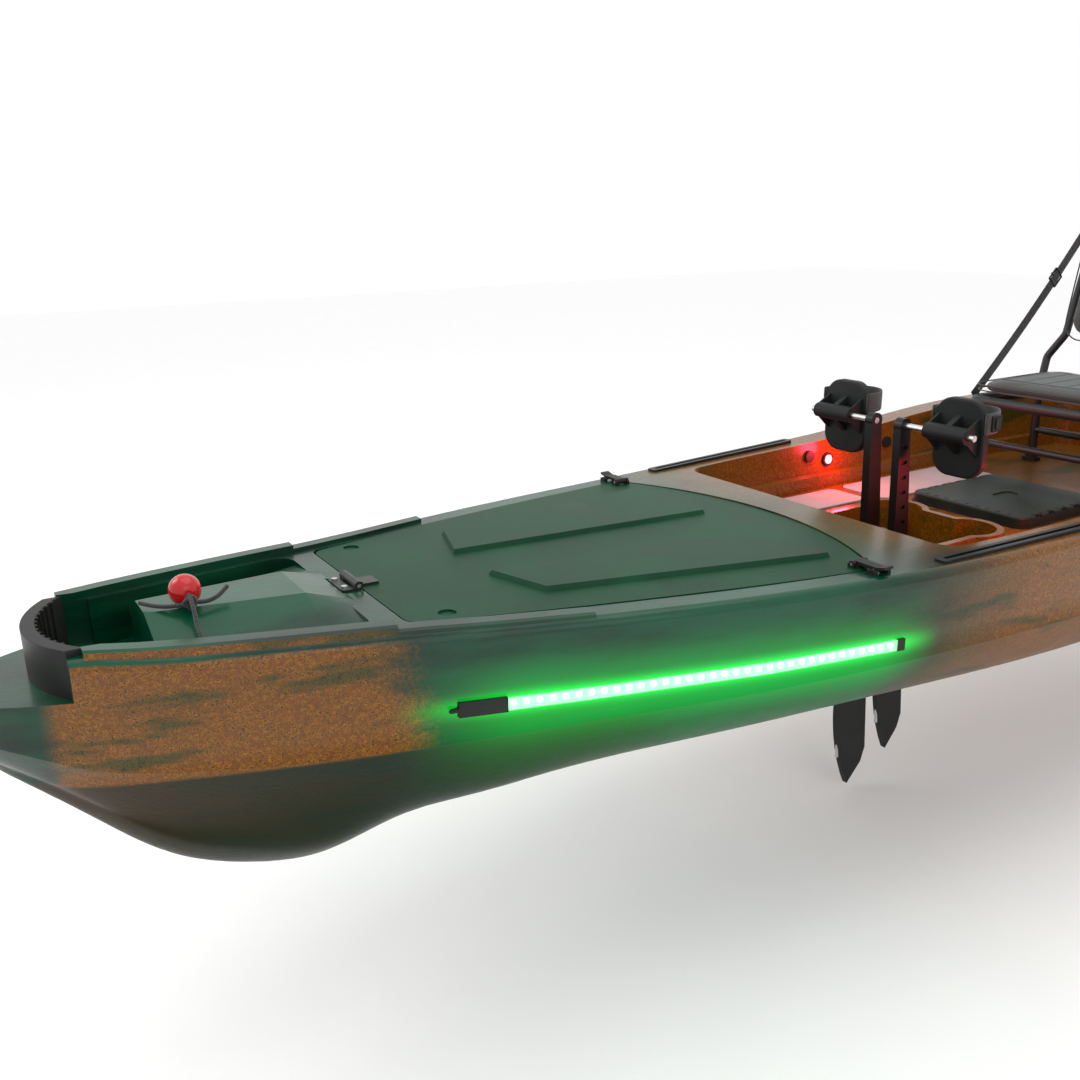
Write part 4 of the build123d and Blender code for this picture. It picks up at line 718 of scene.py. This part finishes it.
@dataclass
class Studio:
    """The floor, the lights and the camera."""

    eye: Point = (1.817, 1.400, 0.8416)
    right: Point = (-0.8553, 0.5178, -0.0208)
    up: Point = (-0.1712, -0.2444, 0.9544)
    forward: Point = (-0.4891, -0.8199, -0.2977)
    lens: float = 35.0
    floor_drop: float = 0.012
    floor_size: float = 30.0

    def build(self, lowest: float) -> None:
        """Builds it all.

        Args:
            lowest: the object's lowest height, that the floor lies just under.
        """
        bpy.context.scene.view_settings.view_transform = "Standard"
        self._floor(lowest - self.floor_drop)
        self._world()
        self._lights()
        self._camera()

    def _floor(self, height: float) -> None:
        """Lays a plain pale floor."""
        half = self.floor_size / 2
        verts = [(-half, -half, height), (half, -half, height), (half, half, height), (-half, half, height)]
        floor = mesh_piece("floor", verts, [(0, 1, 2, 3)], smooth=False)
        finish = Moulded("studio_floor", (0.97, 0.97, 0.97), 0.8, 40.0, 0.0002, (1.01, 1.01, 1.01))
        floor.data.materials.append(finish.make())
        floor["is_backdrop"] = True

    def _world(self) -> None:
        """Sets an even pale surround."""
        world = bpy.data.worlds.new("surround")
        world.use_nodes = True
        ground = world.node_tree.nodes["Background"]
        ground.inputs["Color"].default_value = (1.0, 1.0, 1.0, 1.0)
        ground.inputs["Strength"].default_value = 1.0
        bpy.context.scene.world = world

    def _lights(self) -> None:
        """Hangs the soft lights: a large one overhead, a key from the bow and a fill from port."""
        self._area("top", (0.4, 0.2, 3.6), (0.0, 0.0, 0.2), 3.2, 40.0, (1.0, 0.98, 0.95))
        self._area("key", (3.4, -2.4, 2.8), (0.6, 0.0, 0.3), 2.0, 40.0, (1.0, 0.97, 0.92))
        self._area("fill", (1.2, 3.8, 1.9), (0.4, 0.0, 0.2), 2.6, 20.0, (0.90, 0.96, 1.0))

    def _area(self, name: str, at: Point, target: Point, size: float, watts: float, colour: Colour) -> None:
        """Hangs one soft square light."""
        lamp = bpy.data.lights.new(name, "AREA")
        lamp.size = size
        lamp.energy = watts
        lamp.color = colour
        holder = bpy.data.objects.new(name, lamp)
        holder.location = at
        holder.rotation_mode = "QUATERNION"
        holder.rotation_quaternion = (Vector(target) - Vector(at)).to_track_quat("-Z", "Y")
        bpy.context.scene.collection.objects.link(holder)

    def _camera(self) -> None:
        """Sets up the camera."""
        data = bpy.data.cameras.new("camera")
        data.lens = self.lens
        data.sensor_width = 36.0
        data.clip_start = 0.02
        camera = bpy.data.objects.new("camera", data)
        turn = Matrix((Vector(self.right), Vector(self.up), -Vector(self.forward))).transposed()
        camera.matrix_world = Matrix.Translation(self.eye) @ turn.to_4x4()
        bpy.context.scene.collection.objects.link(camera)
        bpy.context.scene.camera = camera


# ---------------------------------------------------------------- dressing the CAD pieces


@dataclass
class Wardrobe:
    """One finish for each of the record's material slots."""

    materials: dict[str, bpy.types.Material]

    @classmethod
    def cut(cls) -> "Wardrobe":
        """Makes every finish once."""
        lows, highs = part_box("light_sleeves")
        black = (0.012, 0.013, 0.012)
        half = 0.009
        finishes = {
            "hull": HullPlastic("hull_plastic", (lows.x, highs.y, lows.z + half), (highs.x, 0.262, highs.z - half)),
            "plastic": Moulded("black_plastic", black, 0.42, 800.0, 0.0002, (1.8, 1.8, 1.7)),
            "lid": Moulded("lid_plastic", (0.0, 0.036, 0.012), 0.46, 620.0, 0.0004, (1.3, 1.5, 1.5)),
            "tackle_lid": Moulded("tackle_lid_plastic", (0.010, 0.016, 0.012), 0.36, 700.0, 0.0003, (1.7, 1.7, 1.7)),
            "steel": Metal("steel", (0.50, 0.50, 0.49), 0.26),
            "bracket": Metal("coated_metal", (0.022, 0.026, 0.022), 0.34, 0.55, (3.0, 3.0, 3.0)),
            "track": Metal("anodised_track", (0.014, 0.016, 0.015), 0.38, 0.7, (0.4, 8.0, 8.0)),
            "seal": Moulded("seal_rubber", (0.010, 0.010, 0.010), 0.75, 1200.0, 0.0003),
            "fin": Moulded("fin_rubber", (0.014, 0.014, 0.014), 0.55, 500.0, 0.0003),
            "arm": Metal("anodised_arm", (0.018, 0.019, 0.019), 0.33, 0.8, (2.0, 2.0, 14.0)),
            "pedal": Moulded("pedal_plastic", (0.011, 0.012, 0.012), 0.48, 900.0, 0.00025),
            "webbing": Woven("webbing", (0.010, 0.011, 0.011), Weave.WEBBING, 0.0026, 0.70),
            "seat_tube": Metal("powder_coat", (0.016, 0.017, 0.018), 0.40, 0.35, (2.0, 2.0, 2.0)),
            "seat_fabric": Woven("seat_fabric", (0.019, 0.022, 0.021), Weave.CANVAS, 0.0024, 0.80),
            "foam": FoamSheet("foam_sheet", (0.42, 0.33, 0.33)),
            "sleeve": ClearSleeve("clear_sleeve"),
            "tape": Lit("lit_tape", (0.10, 0.75, 0.20), (0.0, 0.9, 0.05), 0.7),
            "chip": Lit("light_chip", (0.90, 1.0, 0.95), (0.72, 1.0, 0.90), 16.0),
            "lens": Lit("lit_lens", (0.90, 0.10, 0.14), (1.0, 0.02, 0.05), 9.0),
            "ball": Moulded("ball_gloss", (0.42, 0.004, 0.006), 0.22, 300.0, 0.0001, (1.2, 1.2, 1.2), 0.6),
            "cord": Woven("cord_braid", (0.008, 0.008, 0.009), Weave.WEBBING, 0.0022, 0.75),
        }
        return cls({slot: finish.make() for slot, finish in finishes.items()})

    def dress_nodes(self, nodes: dict[str, bpy.types.Object]) -> None:
        """Gives every CAD node the finish of its slot."""
        for name, node in nodes.items():
            for index, material in enumerate(node.data.materials):
                node.data.materials[index] = self.materials[material.name.split(".")[0]]
            log.info("dressed %s", name)

    def dress(self, piece: bpy.types.Object, slot: str) -> bpy.types.Object:
        """Gives a new piece the finish of a slot."""
        piece.data.materials.clear()
        piece.data.materials.append(self.materials[slot])
        return piece


# ---------------------------------------------------------------- cloth


@dataclass(frozen=True)
class Swell:
    """How a padded form is blown up by the cloth simulation."""

    voxel: float = 0.006
    pressure: float = 4.0
    frames: int = 20
    cap: float = 0.010

    def puff(self, piece: bpy.types.Object) -> bpy.types.Object:
        """Blows a closed form up into a soft pad.

        Args:
            piece: the closed form, slightly smaller than the pad.

        Returns:
            The piece with its swollen mesh.
        """
        modify(piece, "REMESH", mode="VOXEL", voxel_size=self.voxel)
        apply_modifiers(piece)
        start = [vert.co.copy() for vert in piece.data.vertices]
        self._simulate(piece)
        for vert, home in zip(piece.data.vertices, start):
            shift = vert.co - home
            if shift.length > self.cap:
                vert.co = home + shift.normalized() * self.cap
        modify(piece, "SUBSURF", levels=1, render_levels=1)
        apply_modifiers(piece)
        for polygon in piece.data.polygons:
            polygon.use_smooth = True
        return piece

    def _simulate(self, piece: bpy.types.Object) -> None:
        """Runs the cloth under its inner pressure and keeps the last frame."""
        cloth = piece.modifiers.new("cloth", "CLOTH")
        cloth.settings.use_pressure = True
        cloth.settings.uniform_pressure_force = self.pressure
        cloth.settings.quality = 5
        cloth.settings.mass = 0.3
        cloth.settings.effector_weights.gravity = 0.0
        cloth.point_cache.frame_start = 1
        cloth.point_cache.frame_end = self.frames
        for frame in range(1, self.frames + 1):
            bpy.context.scene.frame_set(frame)
        apply_modifiers(piece)
        bpy.context.scene.frame_set(1)


def press(piece: bpy.types.Object, depth: Callable[[Vector], float], along: Vector) -> None:
    """Moves a pad's points along a direction by a depth that depends on the place, for seams."""
    for vert in piece.data.vertices:
        vert.co += along * depth(vert.co)


def groove(distance: float, width: float, depth: float) -> float:
    """How deep a sewn channel is at a distance from its middle."""
    return depth * math.exp(-((distance / width) ** 2))


# ---------------------------------------------------------------- seat


@dataclass
class Lay:
    """A flat system of places: an origin with an X, Y and outward direction."""

    origin: Vector
    x: Vector
    y: Vector
    out: Vector

    def at(self, x: float, y: float, out: float) -> Vector:
        """The place at x and y on the plane and out from it."""
        return self.origin + self.x * x + self.y * y + self.out * out

    def local(self, place: Vector) -> tuple[float, float, float]:
        """A place's x, y and height in this system."""
        arm = place - self.origin
        return arm.dot(self.x), arm.dot(self.y), arm.dot(self.out)


@dataclass
class Seat:
    """The seat's soft parts: a cushion and back with piping and sewn panels, and the back's webbing."""

    wardrobe: Wardrobe
    piping: float = 0.0034
    inset: float = 0.012
    waist: float = 0.022
    panel: float = 0.055
    strap_width: float = 0.025
    strap_thick: float = 0.0024
    buckle_bars: Sequence[Sequence[Sequence[int]]] = (
        ((-1, -1), (-1, 1)),
        ((1, -1), (1, 1)),
        ((-1, -1), (1, -1)),
        ((-1, 1), (1, 1)),
        ((0, -1), (0, 1)),
    )
    stitch_corners: Sequence[Point] = (
        (-1, -1, 0), (1, -1, 0), (1, 1, 0), (-1, 1, 0), (-0.6, 0, 1), (0.6, 0, 1)
    )
    stitch_faces: Sequence[Sequence[int]] = ((0, 1, 5, 4), (2, 3, 4, 5), (0, 4, 3), (1, 2, 5), (0, 3, 2, 1))

    def build(self) -> None:
        """Builds the seat's pieces."""
        self._cushion()
        self._back()
        for side in Side:
            self._strap(side)

    def _pad(
        self, name: str, frame: Lay, width: float, height: float, thick: float, radius: float
    ) -> bpy.types.Object:
        """A pad with rounded corners, pinched waists between its corners and a crowned face.

        Args:
            name: the piece's name.
            frame: its middle, with out towards the sitter.
            width: its size along the frame's x.
            height: its size along the frame's y.
            thick: its thickness.
            radius: its corners' radius.

        Returns:
            The pad, swollen.
        """
        outline = rounded_rectangle(width - 2 * self.inset, height - 2 * self.inset, radius, 8)
        rings = ((0.0, 0.86), (0.12, 0.97), (0.35, 1.0), (0.65, 1.0), (0.88, 0.97), (1.0, 0.86))
        verts: list[Vector] = []
        for share, scale in rings:
            for x, y in outline:
                waist_x = 1.0 - self.waist * (1.0 - (2 * y / height) ** 2)
                waist_y = 1.0 - self.waist * (1.0 - (2 * x / width) ** 2)
                out = (share - 0.5) * (thick - self.inset)
                verts.append(frame.at(x * scale * waist_x, y * scale * waist_y, out))
        count = len(outline)
        faces: list[tuple[int, ...]] = [tuple(range(count)), tuple(range(len(verts) - count, len(verts)))]
        for ring in range(len(rings) - 1):
            for step in range(count):
                a = ring * count + step
                b = ring * count + (step + 1) % count
                faces.append((a, b, b + count, a + count))
        pad = mesh_piece(name, verts, faces)
        return Swell(cap=self.inset / 2 - 0.0005).puff(pad)

    def _piping(
        self, name: str, frame: Lay, width: float, height: float, radius: float, out: float
    ) -> bpy.types.Object:
        """A welt cord round a pad's edge at a height above its middle."""
        outline = rounded_rectangle(width, height, radius, 4)
        points = [frame.at(x, y, out) for x, y in outline]
        welt = nurbs(name, [tuple(point) for point in points], closed=True, radius=self.piping / 2)
        return self.wardrobe.dress(welt, "webbing")

    def _sew(self, pad: bpy.types.Object, frame: Lay, width: float, height: float, thick: float, ribs: int) -> None:
        """Presses a border seam and cross channels into the pad's outer face."""
        inner_x = width / 2 - self.panel
        inner_y = height / 2 - self.panel

        def depth(place: Vector) -> float:
            """The seams' depth at a place."""
            x, y, out = frame.local(place)
            if out < thick * 0.12:
                return 0.0
            edge = max(abs(x) - inner_x, abs(y) - inner_y)
            total = groove(edge, 0.0035, 0.0042)
            if edge < 0.0:
                pitch = 2 * inner_y / ribs
                offset = (y + inner_y) % pitch
                total += groove(min(offset, pitch - offset), 0.003, 0.0026)
            return -total

        press(pad, depth, frame.out)

    def _stitches(self, name: str, frame: Lay, width: float, height: float, out: float) -> bpy.types.Object:
        """A row of short raised stitches beside the border seam."""
        inner_x = width / 2 - self.panel + 0.007
        inner_y = height / 2 - self.panel + 0.007
        outline = rounded_rectangle(2 * inner_x, 2 * inner_y, 0.02, 4)
        verts: list[Vector] = []
        faces: list[tuple[int, ...]] = []
        for (x0, y0), (x1, y1) in zip(outline, outline[1:] + outline[:1]):
            run = math.hypot(x1 - x0, y1 - y0)
            count = max(1, int(run / 0.0065))
            for step in range(count):
                share = (step + 0.5) / count
                middle = Vector((x0 + (x1 - x0) * share, y0 + (y1 - y0) * share))
                heading = Vector((x1 - x0, y1 - y0)).normalized()
                side = Vector((-heading.y, heading.x))
                base = len(verts)
                for along, across, up in self.stitch_corners:
                    spot = middle + heading * (along * 0.0021) + side * (across * 0.0006)
                    verts.append(frame.at(spot.x, spot.y, out + up * 0.0008))
                for corners in self.stitch_faces:
                    faces.append(tuple(base + corner for corner in corners))
        stitches = mesh_piece(name, verts, faces)
        return self.wardrobe.dress(stitches, "webbing")

    def _cushion(self) -> None:
        """The seat cushion, slung between the frame's side tubes."""
        low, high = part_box("seat_cushion")
        size = high - low
        frame = Lay((low + high) / 2, Vector((1, 0, 0)), Vector((0, 1, 0)), Vector((0, 0, 1)))
        pad = self._pad("cushion", frame, size.x, size.y, size.z, 0.045)
        self._sew(pad, frame, size.x, size.y, size.z, 7)
        self.wardrobe.dress(pad, "seat_fabric")
        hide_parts("seat_cushion")
        welt = self._piping("cushion_welt", frame, size.x - 0.006, size.y - 0.006, 0.045, size.z * 0.16)
        skirt = self._piping("cushion_welt_low", frame, size.x - 0.010, size.y - 0.010, 0.045, -size.z * 0.20)
        stitches = self._stitches("cushion_stitches", frame, size.x, size.y, size.z * 0.5)
        for piece in (pad, welt, skirt, stitches):
            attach(piece, "hull")
            log.info("built %s", piece.name)

    def _back(self) -> None:
        """The back cushion, in front of its tubes, with its welt and stitches."""
        low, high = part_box("seat_back_cushion")
        lean = math.radians(12.0)
        up = Vector((-math.sin(lean), 0, math.cos(lean)))
        out = Vector((math.cos(lean), 0, math.sin(lean)))
        thick = 0.038
        height = ((high.z - low.z) - thick * math.sin(lean)) / math.cos(lean)
        width = high.y - low.y
        frame = Lay((low + high) / 2, Vector((0, 1, 0)), up, out)
        pad = self._pad("back_pad", frame, width, height, thick, 0.05)
        self._sew(pad, frame, width, height, thick, 6)
        self.wardrobe.dress(pad, "seat_fabric")
        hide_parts("seat_back_cushion")
        welt = self._piping("back_welt", frame, width - 0.006, height - 0.006, 0.05, thick * 0.18)
        stitches = self._stitches("back_stitches", frame, width, height, thick * 0.5)
        for piece in (pad, welt, stitches):
            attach(piece, "seat_back")
            log.info("built %s", piece.name)

    def _strap(self, side: Side) -> None:
        """The webbing from the seat frame's front corner up to the back's top, with its adjuster."""
        low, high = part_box("seat_straps")
        sign = side.value
        foot = Vector((high.x - 0.009, sign * (high.y - 0.0016), low.z + 0.008))
        head = Vector((low.x + 0.009, sign * (high.y - 0.0205), high.z - 0.008))
        run = head - foot
        count = 36
        sag = Vector((0.0, 0.0, -0.012))
        path = [foot + run * (step / count) + sag * math.sin(math.pi * step / count) for step in range(count + 1)]
        flat = Vector((0, 1, 0))
        name = f"seat_strap_{side.word}"
        strap = ribbon(
            name, path, lambda place, heading: flat.cross(heading), self.strap_width, self.strap_thick
        )
        self.wardrobe.dress(strap, "webbing")
        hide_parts("seat_straps")
        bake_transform(strap)
        log.info("built %s", strap.name)
        buckle = self._adjuster(f"seat_strap_adjuster_{side.word}", foot + run * 0.70 + sag * 0.8, run.normalized())
        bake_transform(buckle)
        log.info("built %s", buckle.name)

    def _adjuster(self, name: str, at: Vector, along: Vector) -> bpy.types.Object:
        """A ladder-lock buckle that the webbing passes through: a frame with two bars."""
        side = Vector((0, 1, 0)).cross(along).normalized()
        normal = side.cross(along).normalized()
        pieces = []
        for index, (start, end) in enumerate(self.buckle_bars):
            a = at + along * (start[0] * 0.016) + side * (start[1] * 0.0165)
            b = at + along * (end[0] * 0.016) + side * (end[1] * 0.0165)
            lift = normal * (0.003 if index == 4 else 0.0)
            points = [tuple(a + lift), tuple((a + b) / 2 + lift * 1.4), tuple(b + lift)]
            bar = nurbs(f"{name}_bar", points, radius=0.0023)
            pieces.append(bar)
        buckle = join(name, pieces)
        return self.wardrobe.dress(buckle, "plastic")


# ---------------------------------------------------------------- drive


@dataclass
class PedalStraps:
    """The foot straps over the pedals: padded webbing hoops with a clip on the outer side."""

    wardrobe: Wardrobe
    width: float = 0.040
    thick: float = 0.0028
    reach: float = 0.068

    def build(self) -> None:
        """Builds a strap for each pedal."""
        for side in Side:
            self._strap(side)

    def _strap(self, side: Side) -> None:
        """One hoop that follows its CAD solid."""
        low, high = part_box(f"pedal_strap_{side.word}")
        body = f"pedal_{side.word}"
        middle = (low + high) / 2
        centre = Vector((low.x + self.reach, middle.y, middle.z))
        deep = self.reach - self.thick / 2
        half = (high.y - low.y) / 2 - self.thick / 2
        first = math.radians(-12.0)
        turns = [first + (math.pi - 2 * first) * step / 36 for step in range(37)]
        path = [centre + Vector((-deep * math.sin(turn), half * math.cos(turn), 0)) for turn in turns]
        upright = Vector((0, 0, 1))
        strap = ribbon(f"foot_strap_{side.word}", path, lambda place, heading: upright, self.width, self.thick)
        self.wardrobe.dress(strap, "webbing")
        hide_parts(f"pedal_strap_{side.word}")
        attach(strap, body)
        log.info("built %s", strap.name)
        outer = middle.y + side.value * (half + self.thick / 2)
        spots = (("clip", 0.026, 0.030, 0.0045, 0.0), ("lever", 0.013, 0.020, 0.0025, 0.0045))
        for word, long, wide, depth, lift in spots:
            outline = rounded_rectangle(long, wide, 0.003)
            plate = rounded_plate(f"foot_strap_{word}_{side.word}", outline, depth, 0.0008)
            at = (centre.x - 0.012, outer + side.value * (lift - 0.0006), middle.z)
            place(plate, at, (1, 0, 0), (0, side.value, 0))
            self.wardrobe.dress(plate, "pedal" if word == "clip" else "track")
            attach(plate, body)
            log.info("built %s", plate.name)


# ---------------------------------------------------------------- toggle


@dataclass
class Toggle:
    """The red ball on its elastic cord, with two tails and the knot they leave from."""

    wardrobe: Wardrobe
    radius: float = 0.003
    cord_route: Sequence[Point] = (
        (1.553, 0.119833, 0.276),
        (1.553, 0.119333, 0.290633),
        (1.553, 0.116833, 0.306133),
        (1.553, 0.111833, 0.321633),
        (1.552, 0.102333, 0.333633),
        (1.5515, 0.089333, 0.340133),
        (1.5505, 0.078, 0.349133),
        (1.5495, 0.067, 0.359633),
        (1.549, 0.054, 0.368133),
        (1.549, 0.039, 0.371633),
        (1.549, 0.024, 0.371633),
    )
    fore_route: Sequence[Point] = (
        (1.556, 0.0465, 0.359133),
        (1.569, 0.041, 0.357633),
        (1.582, 0.032, 0.357133),
        (1.594, 0.020, 0.357633),
        (1.605, 0.007, 0.359633),
    )
    aft_route: Sequence[Point] = (
        (1.542, 0.047, 0.360133),
        (1.531, 0.048, 0.358133),
        (1.518, 0.046, 0.359133),
        (1.506, 0.042, 0.363633),
        (1.496, 0.038, 0.371133),
    )

    def build(self) -> None:
        """Builds the ball, the knot and the cords."""
        ball = self._ball()
        knot = self._knot()
        self._cord("toggle_elastic", self.cord_route, "toggle_cord")
        self._cord("toggle_end_fore", self.fore_route, "toggle_tail_fore")
        self._cord("toggle_end_aft", self.aft_route, "toggle_tail_aft")

    def _ball(self) -> bpy.types.Object:
        """The ball, with a mould line round it and rounded lips where the cord enters."""
        low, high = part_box("toggle_ball")
        centre = (low + high) / 2
        radius = (high.x - low.x) / 2
        form = bmesh.new()
        bmesh.ops.create_uvsphere(form, u_segments=48, v_segments=32, radius=radius)
        for vert in form.verts:
            ring = vert.co.z / radius
            swell = 1.0 + 0.006 * math.exp(-((ring / 0.03) ** 2))
            hole = math.hypot(vert.co.x, vert.co.z) / radius
            vert.co *= swell * (1.0 - 0.10 * math.exp(-((hole / 0.22) ** 2)))
            vert.co += centre
        mesh = bpy.data.meshes.new("ball")
        form.to_mesh(mesh)
        form.free()
        ball = bpy.data.objects.new("ball", mesh)
        bpy.context.scene.collection.objects.link(ball)
        for polygon in mesh.polygons:
            polygon.use_smooth = True
        self.wardrobe.dress(ball, "ball")
        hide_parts("toggle_ball")
        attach(ball, "hull")
        log.info("built %s", ball.name)
        return ball

    def _knot(self) -> bpy.types.Object:
        """An overhand knot just under the ball's lip: a small trefoil of cord."""
        start = Vector(self.cord_route[-3])
        fore = Vector(self.fore_route[0])
        aft = Vector(self.aft_route[0])
        centre = (fore + aft) / 2 * 0.7 + start * 0.3
        points = []
        count = 18
        for step in range(count):
            turn = 2 * math.pi * step / count
            arm = 0.0062 + 0.0022 * math.cos(3 * turn)
            points.append(
                (
                    centre.x + arm * math.cos(2 * turn),
                    centre.y + 0.0035 * math.sin(3 * turn) + 0.001,
                    centre.z + arm * math.sin(2 * turn),
                )
            )
        knot = nurbs("toggle_knot", points, closed=True, radius=self.radius)
        self.wardrobe.dress(knot, "cord")
        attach(knot, "hull")
        log.info("built %s", knot.name)
        return knot

    def _cord(
        self, name: str, route: Sequence[Point], node: str
    ) -> None:
        """One cord along its route."""
        line = nurbs(name, route, radius=self.radius)
        self.wardrobe.dress(line, "cord")
        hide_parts(node)
        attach(line, "hull")
        bare = nurbs(f"{name}_line", route)
        points = line_of(bare)
        bpy.data.objects.remove(bare)
        2 * self.radius


# ---------------------------------------------------------------- small fittings


@dataclass
class Fittings:
    """Small fittings: the tackle lid's ribs, the light strips' cable glands and the cockpit lamps' light."""

    wardrobe: Wardrobe
    nodes: dict[str, bpy.types.Object]
    rib_pitch: float = 0.026
    rib_size: float = 0.011
    lamp_watts: float = 1.6

    def build(self) -> None:
        """Builds them all."""
        self._lid_ribs()
        for side in Side:
            self._gland(side)
            self._lamp(side)

    def _lid_ribs(self) -> None:
        """A row of short ribs along the tackle lid's front and side edges."""
        low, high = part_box("tackle_lid")
        pieces = []
        inset = 0.012
        across = int((high.y - low.y - 0.05) / self.rib_pitch)
        along = int((high.x - low.x - 0.07) / self.rib_pitch)
        spots = [(high.x - inset, (step - (across - 1) / 2) * self.rib_pitch, False) for step in range(across)]
        middle = (low.x + high.x) / 2
        for sign in (-1, 1):
            edge = sign * (high.y - inset)
            spots += [(middle + (step - (along - 1) / 2) * self.rib_pitch, edge, True) for step in range(along)]
        for x, y, turned in spots:
            outline = rounded_rectangle(self.rib_size, self.rib_size * 0.5, 0.002, 3)
            rib = rounded_plate("rib", outline, 0.0032, 0.0008)
            heading = (1, 0, 0) if turned else (0, 1, 0)
            place(rib, (x, y, high.z - 0.0022), heading, (0, 0, 1))
            pieces.append(rib)
        bpy.context.view_layer.update()
        ribs = join("tackle_lid_ribs", pieces)
        self.wardrobe.dress(ribs, "tackle_lid")
        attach(ribs, "tackle_hatch")
        log.info("built %s", ribs.name)

    def _gland(self, side: Side) -> None:
        """The ribbed cable gland at the fore end of a light strip."""
        pods = [vert.co for vert in self.nodes["light_end_pods"].data.vertices if vert.co.y * side.value > 0]
        tip = max(place.x for place in pods)
        end = [place for place in pods if place.x > tip - 0.002]
        middle = sum(end, Vector()) / len(end)
        form = bmesh.new()
        steps = 10
        rings = (
            (0.0042, 0.0),
            (0.0042, 0.004),
            (0.0034, 0.005),
            (0.0040, 0.008),
            (0.0032, 0.009),
            (0.0038, 0.012),
            (0.002, 0.016),
        )
        rows = []
        for radius, out in rings:
            turns = [2 * math.pi * step / steps for step in range(steps)]
            rows.append([form.verts.new((radius * math.cos(t), radius * math.sin(t), out)) for t in turns])
        for before, after in zip(rows, rows[1:]):
            for s in range(steps):
                form.faces.new((before[s], before[(s + 1) % steps], after[(s + 1) % steps], after[s]))
        form.faces.new(rows[-1])
        form.faces.new(tuple(reversed(rows[0])))
        bmesh.ops.recalc_face_normals(form, faces=form.faces)
        mesh = bpy.data.meshes.new("gland")
        form.to_mesh(mesh)
        form.free()
        gland = bpy.data.objects.new(f"strip_gland_{side.word}", mesh)
        bpy.context.scene.collection.objects.link(gland)
        place(gland, (tip - 0.003, middle.y, middle.z), (0, 0, 1), (1, 0, 0))
        self.wardrobe.dress(gland, "plastic")
        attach(gland, "hull")
        log.info("built %s", gland.name)

    def _lamp(self, side: Side) -> None:
        """The red light that a courtesy lamp throws into the cockpit."""
        low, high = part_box("cockpit_light_lenses")
        light = bpy.data.lights.new(f"courtesy_{side.word}", "POINT")
        light.energy = self.lamp_watts
        light.color = (1.0, 0.03, 0.06)
        light.shadow_soft_size = 0.02
        lamp = bpy.data.objects.new(light.name, light)
        lamp.location = ((low.x + high.x) / 2, side.value * (high.y - 0.055), high.z + 0.012)
        bpy.context.scene.collection.objects.link(lamp)


def main() -> None:
    """Builds the looks in order."""
    logging.basicConfig(level=logging.INFO, format="%(name)s: %(message)s")
    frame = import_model()
    cad_low, cad_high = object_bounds()
    wardrobe = Wardrobe.cut()
    wardrobe.dress_nodes(frame["nodes"])
    Studio().build(cad_low.z)
    for assembly in (Toggle(wardrobe), Seat(wardrobe), PedalStraps(wardrobe), Fittings(wardrobe, frame["nodes"])):
        assembly.build()


if __name__ == "__main__":
    main()
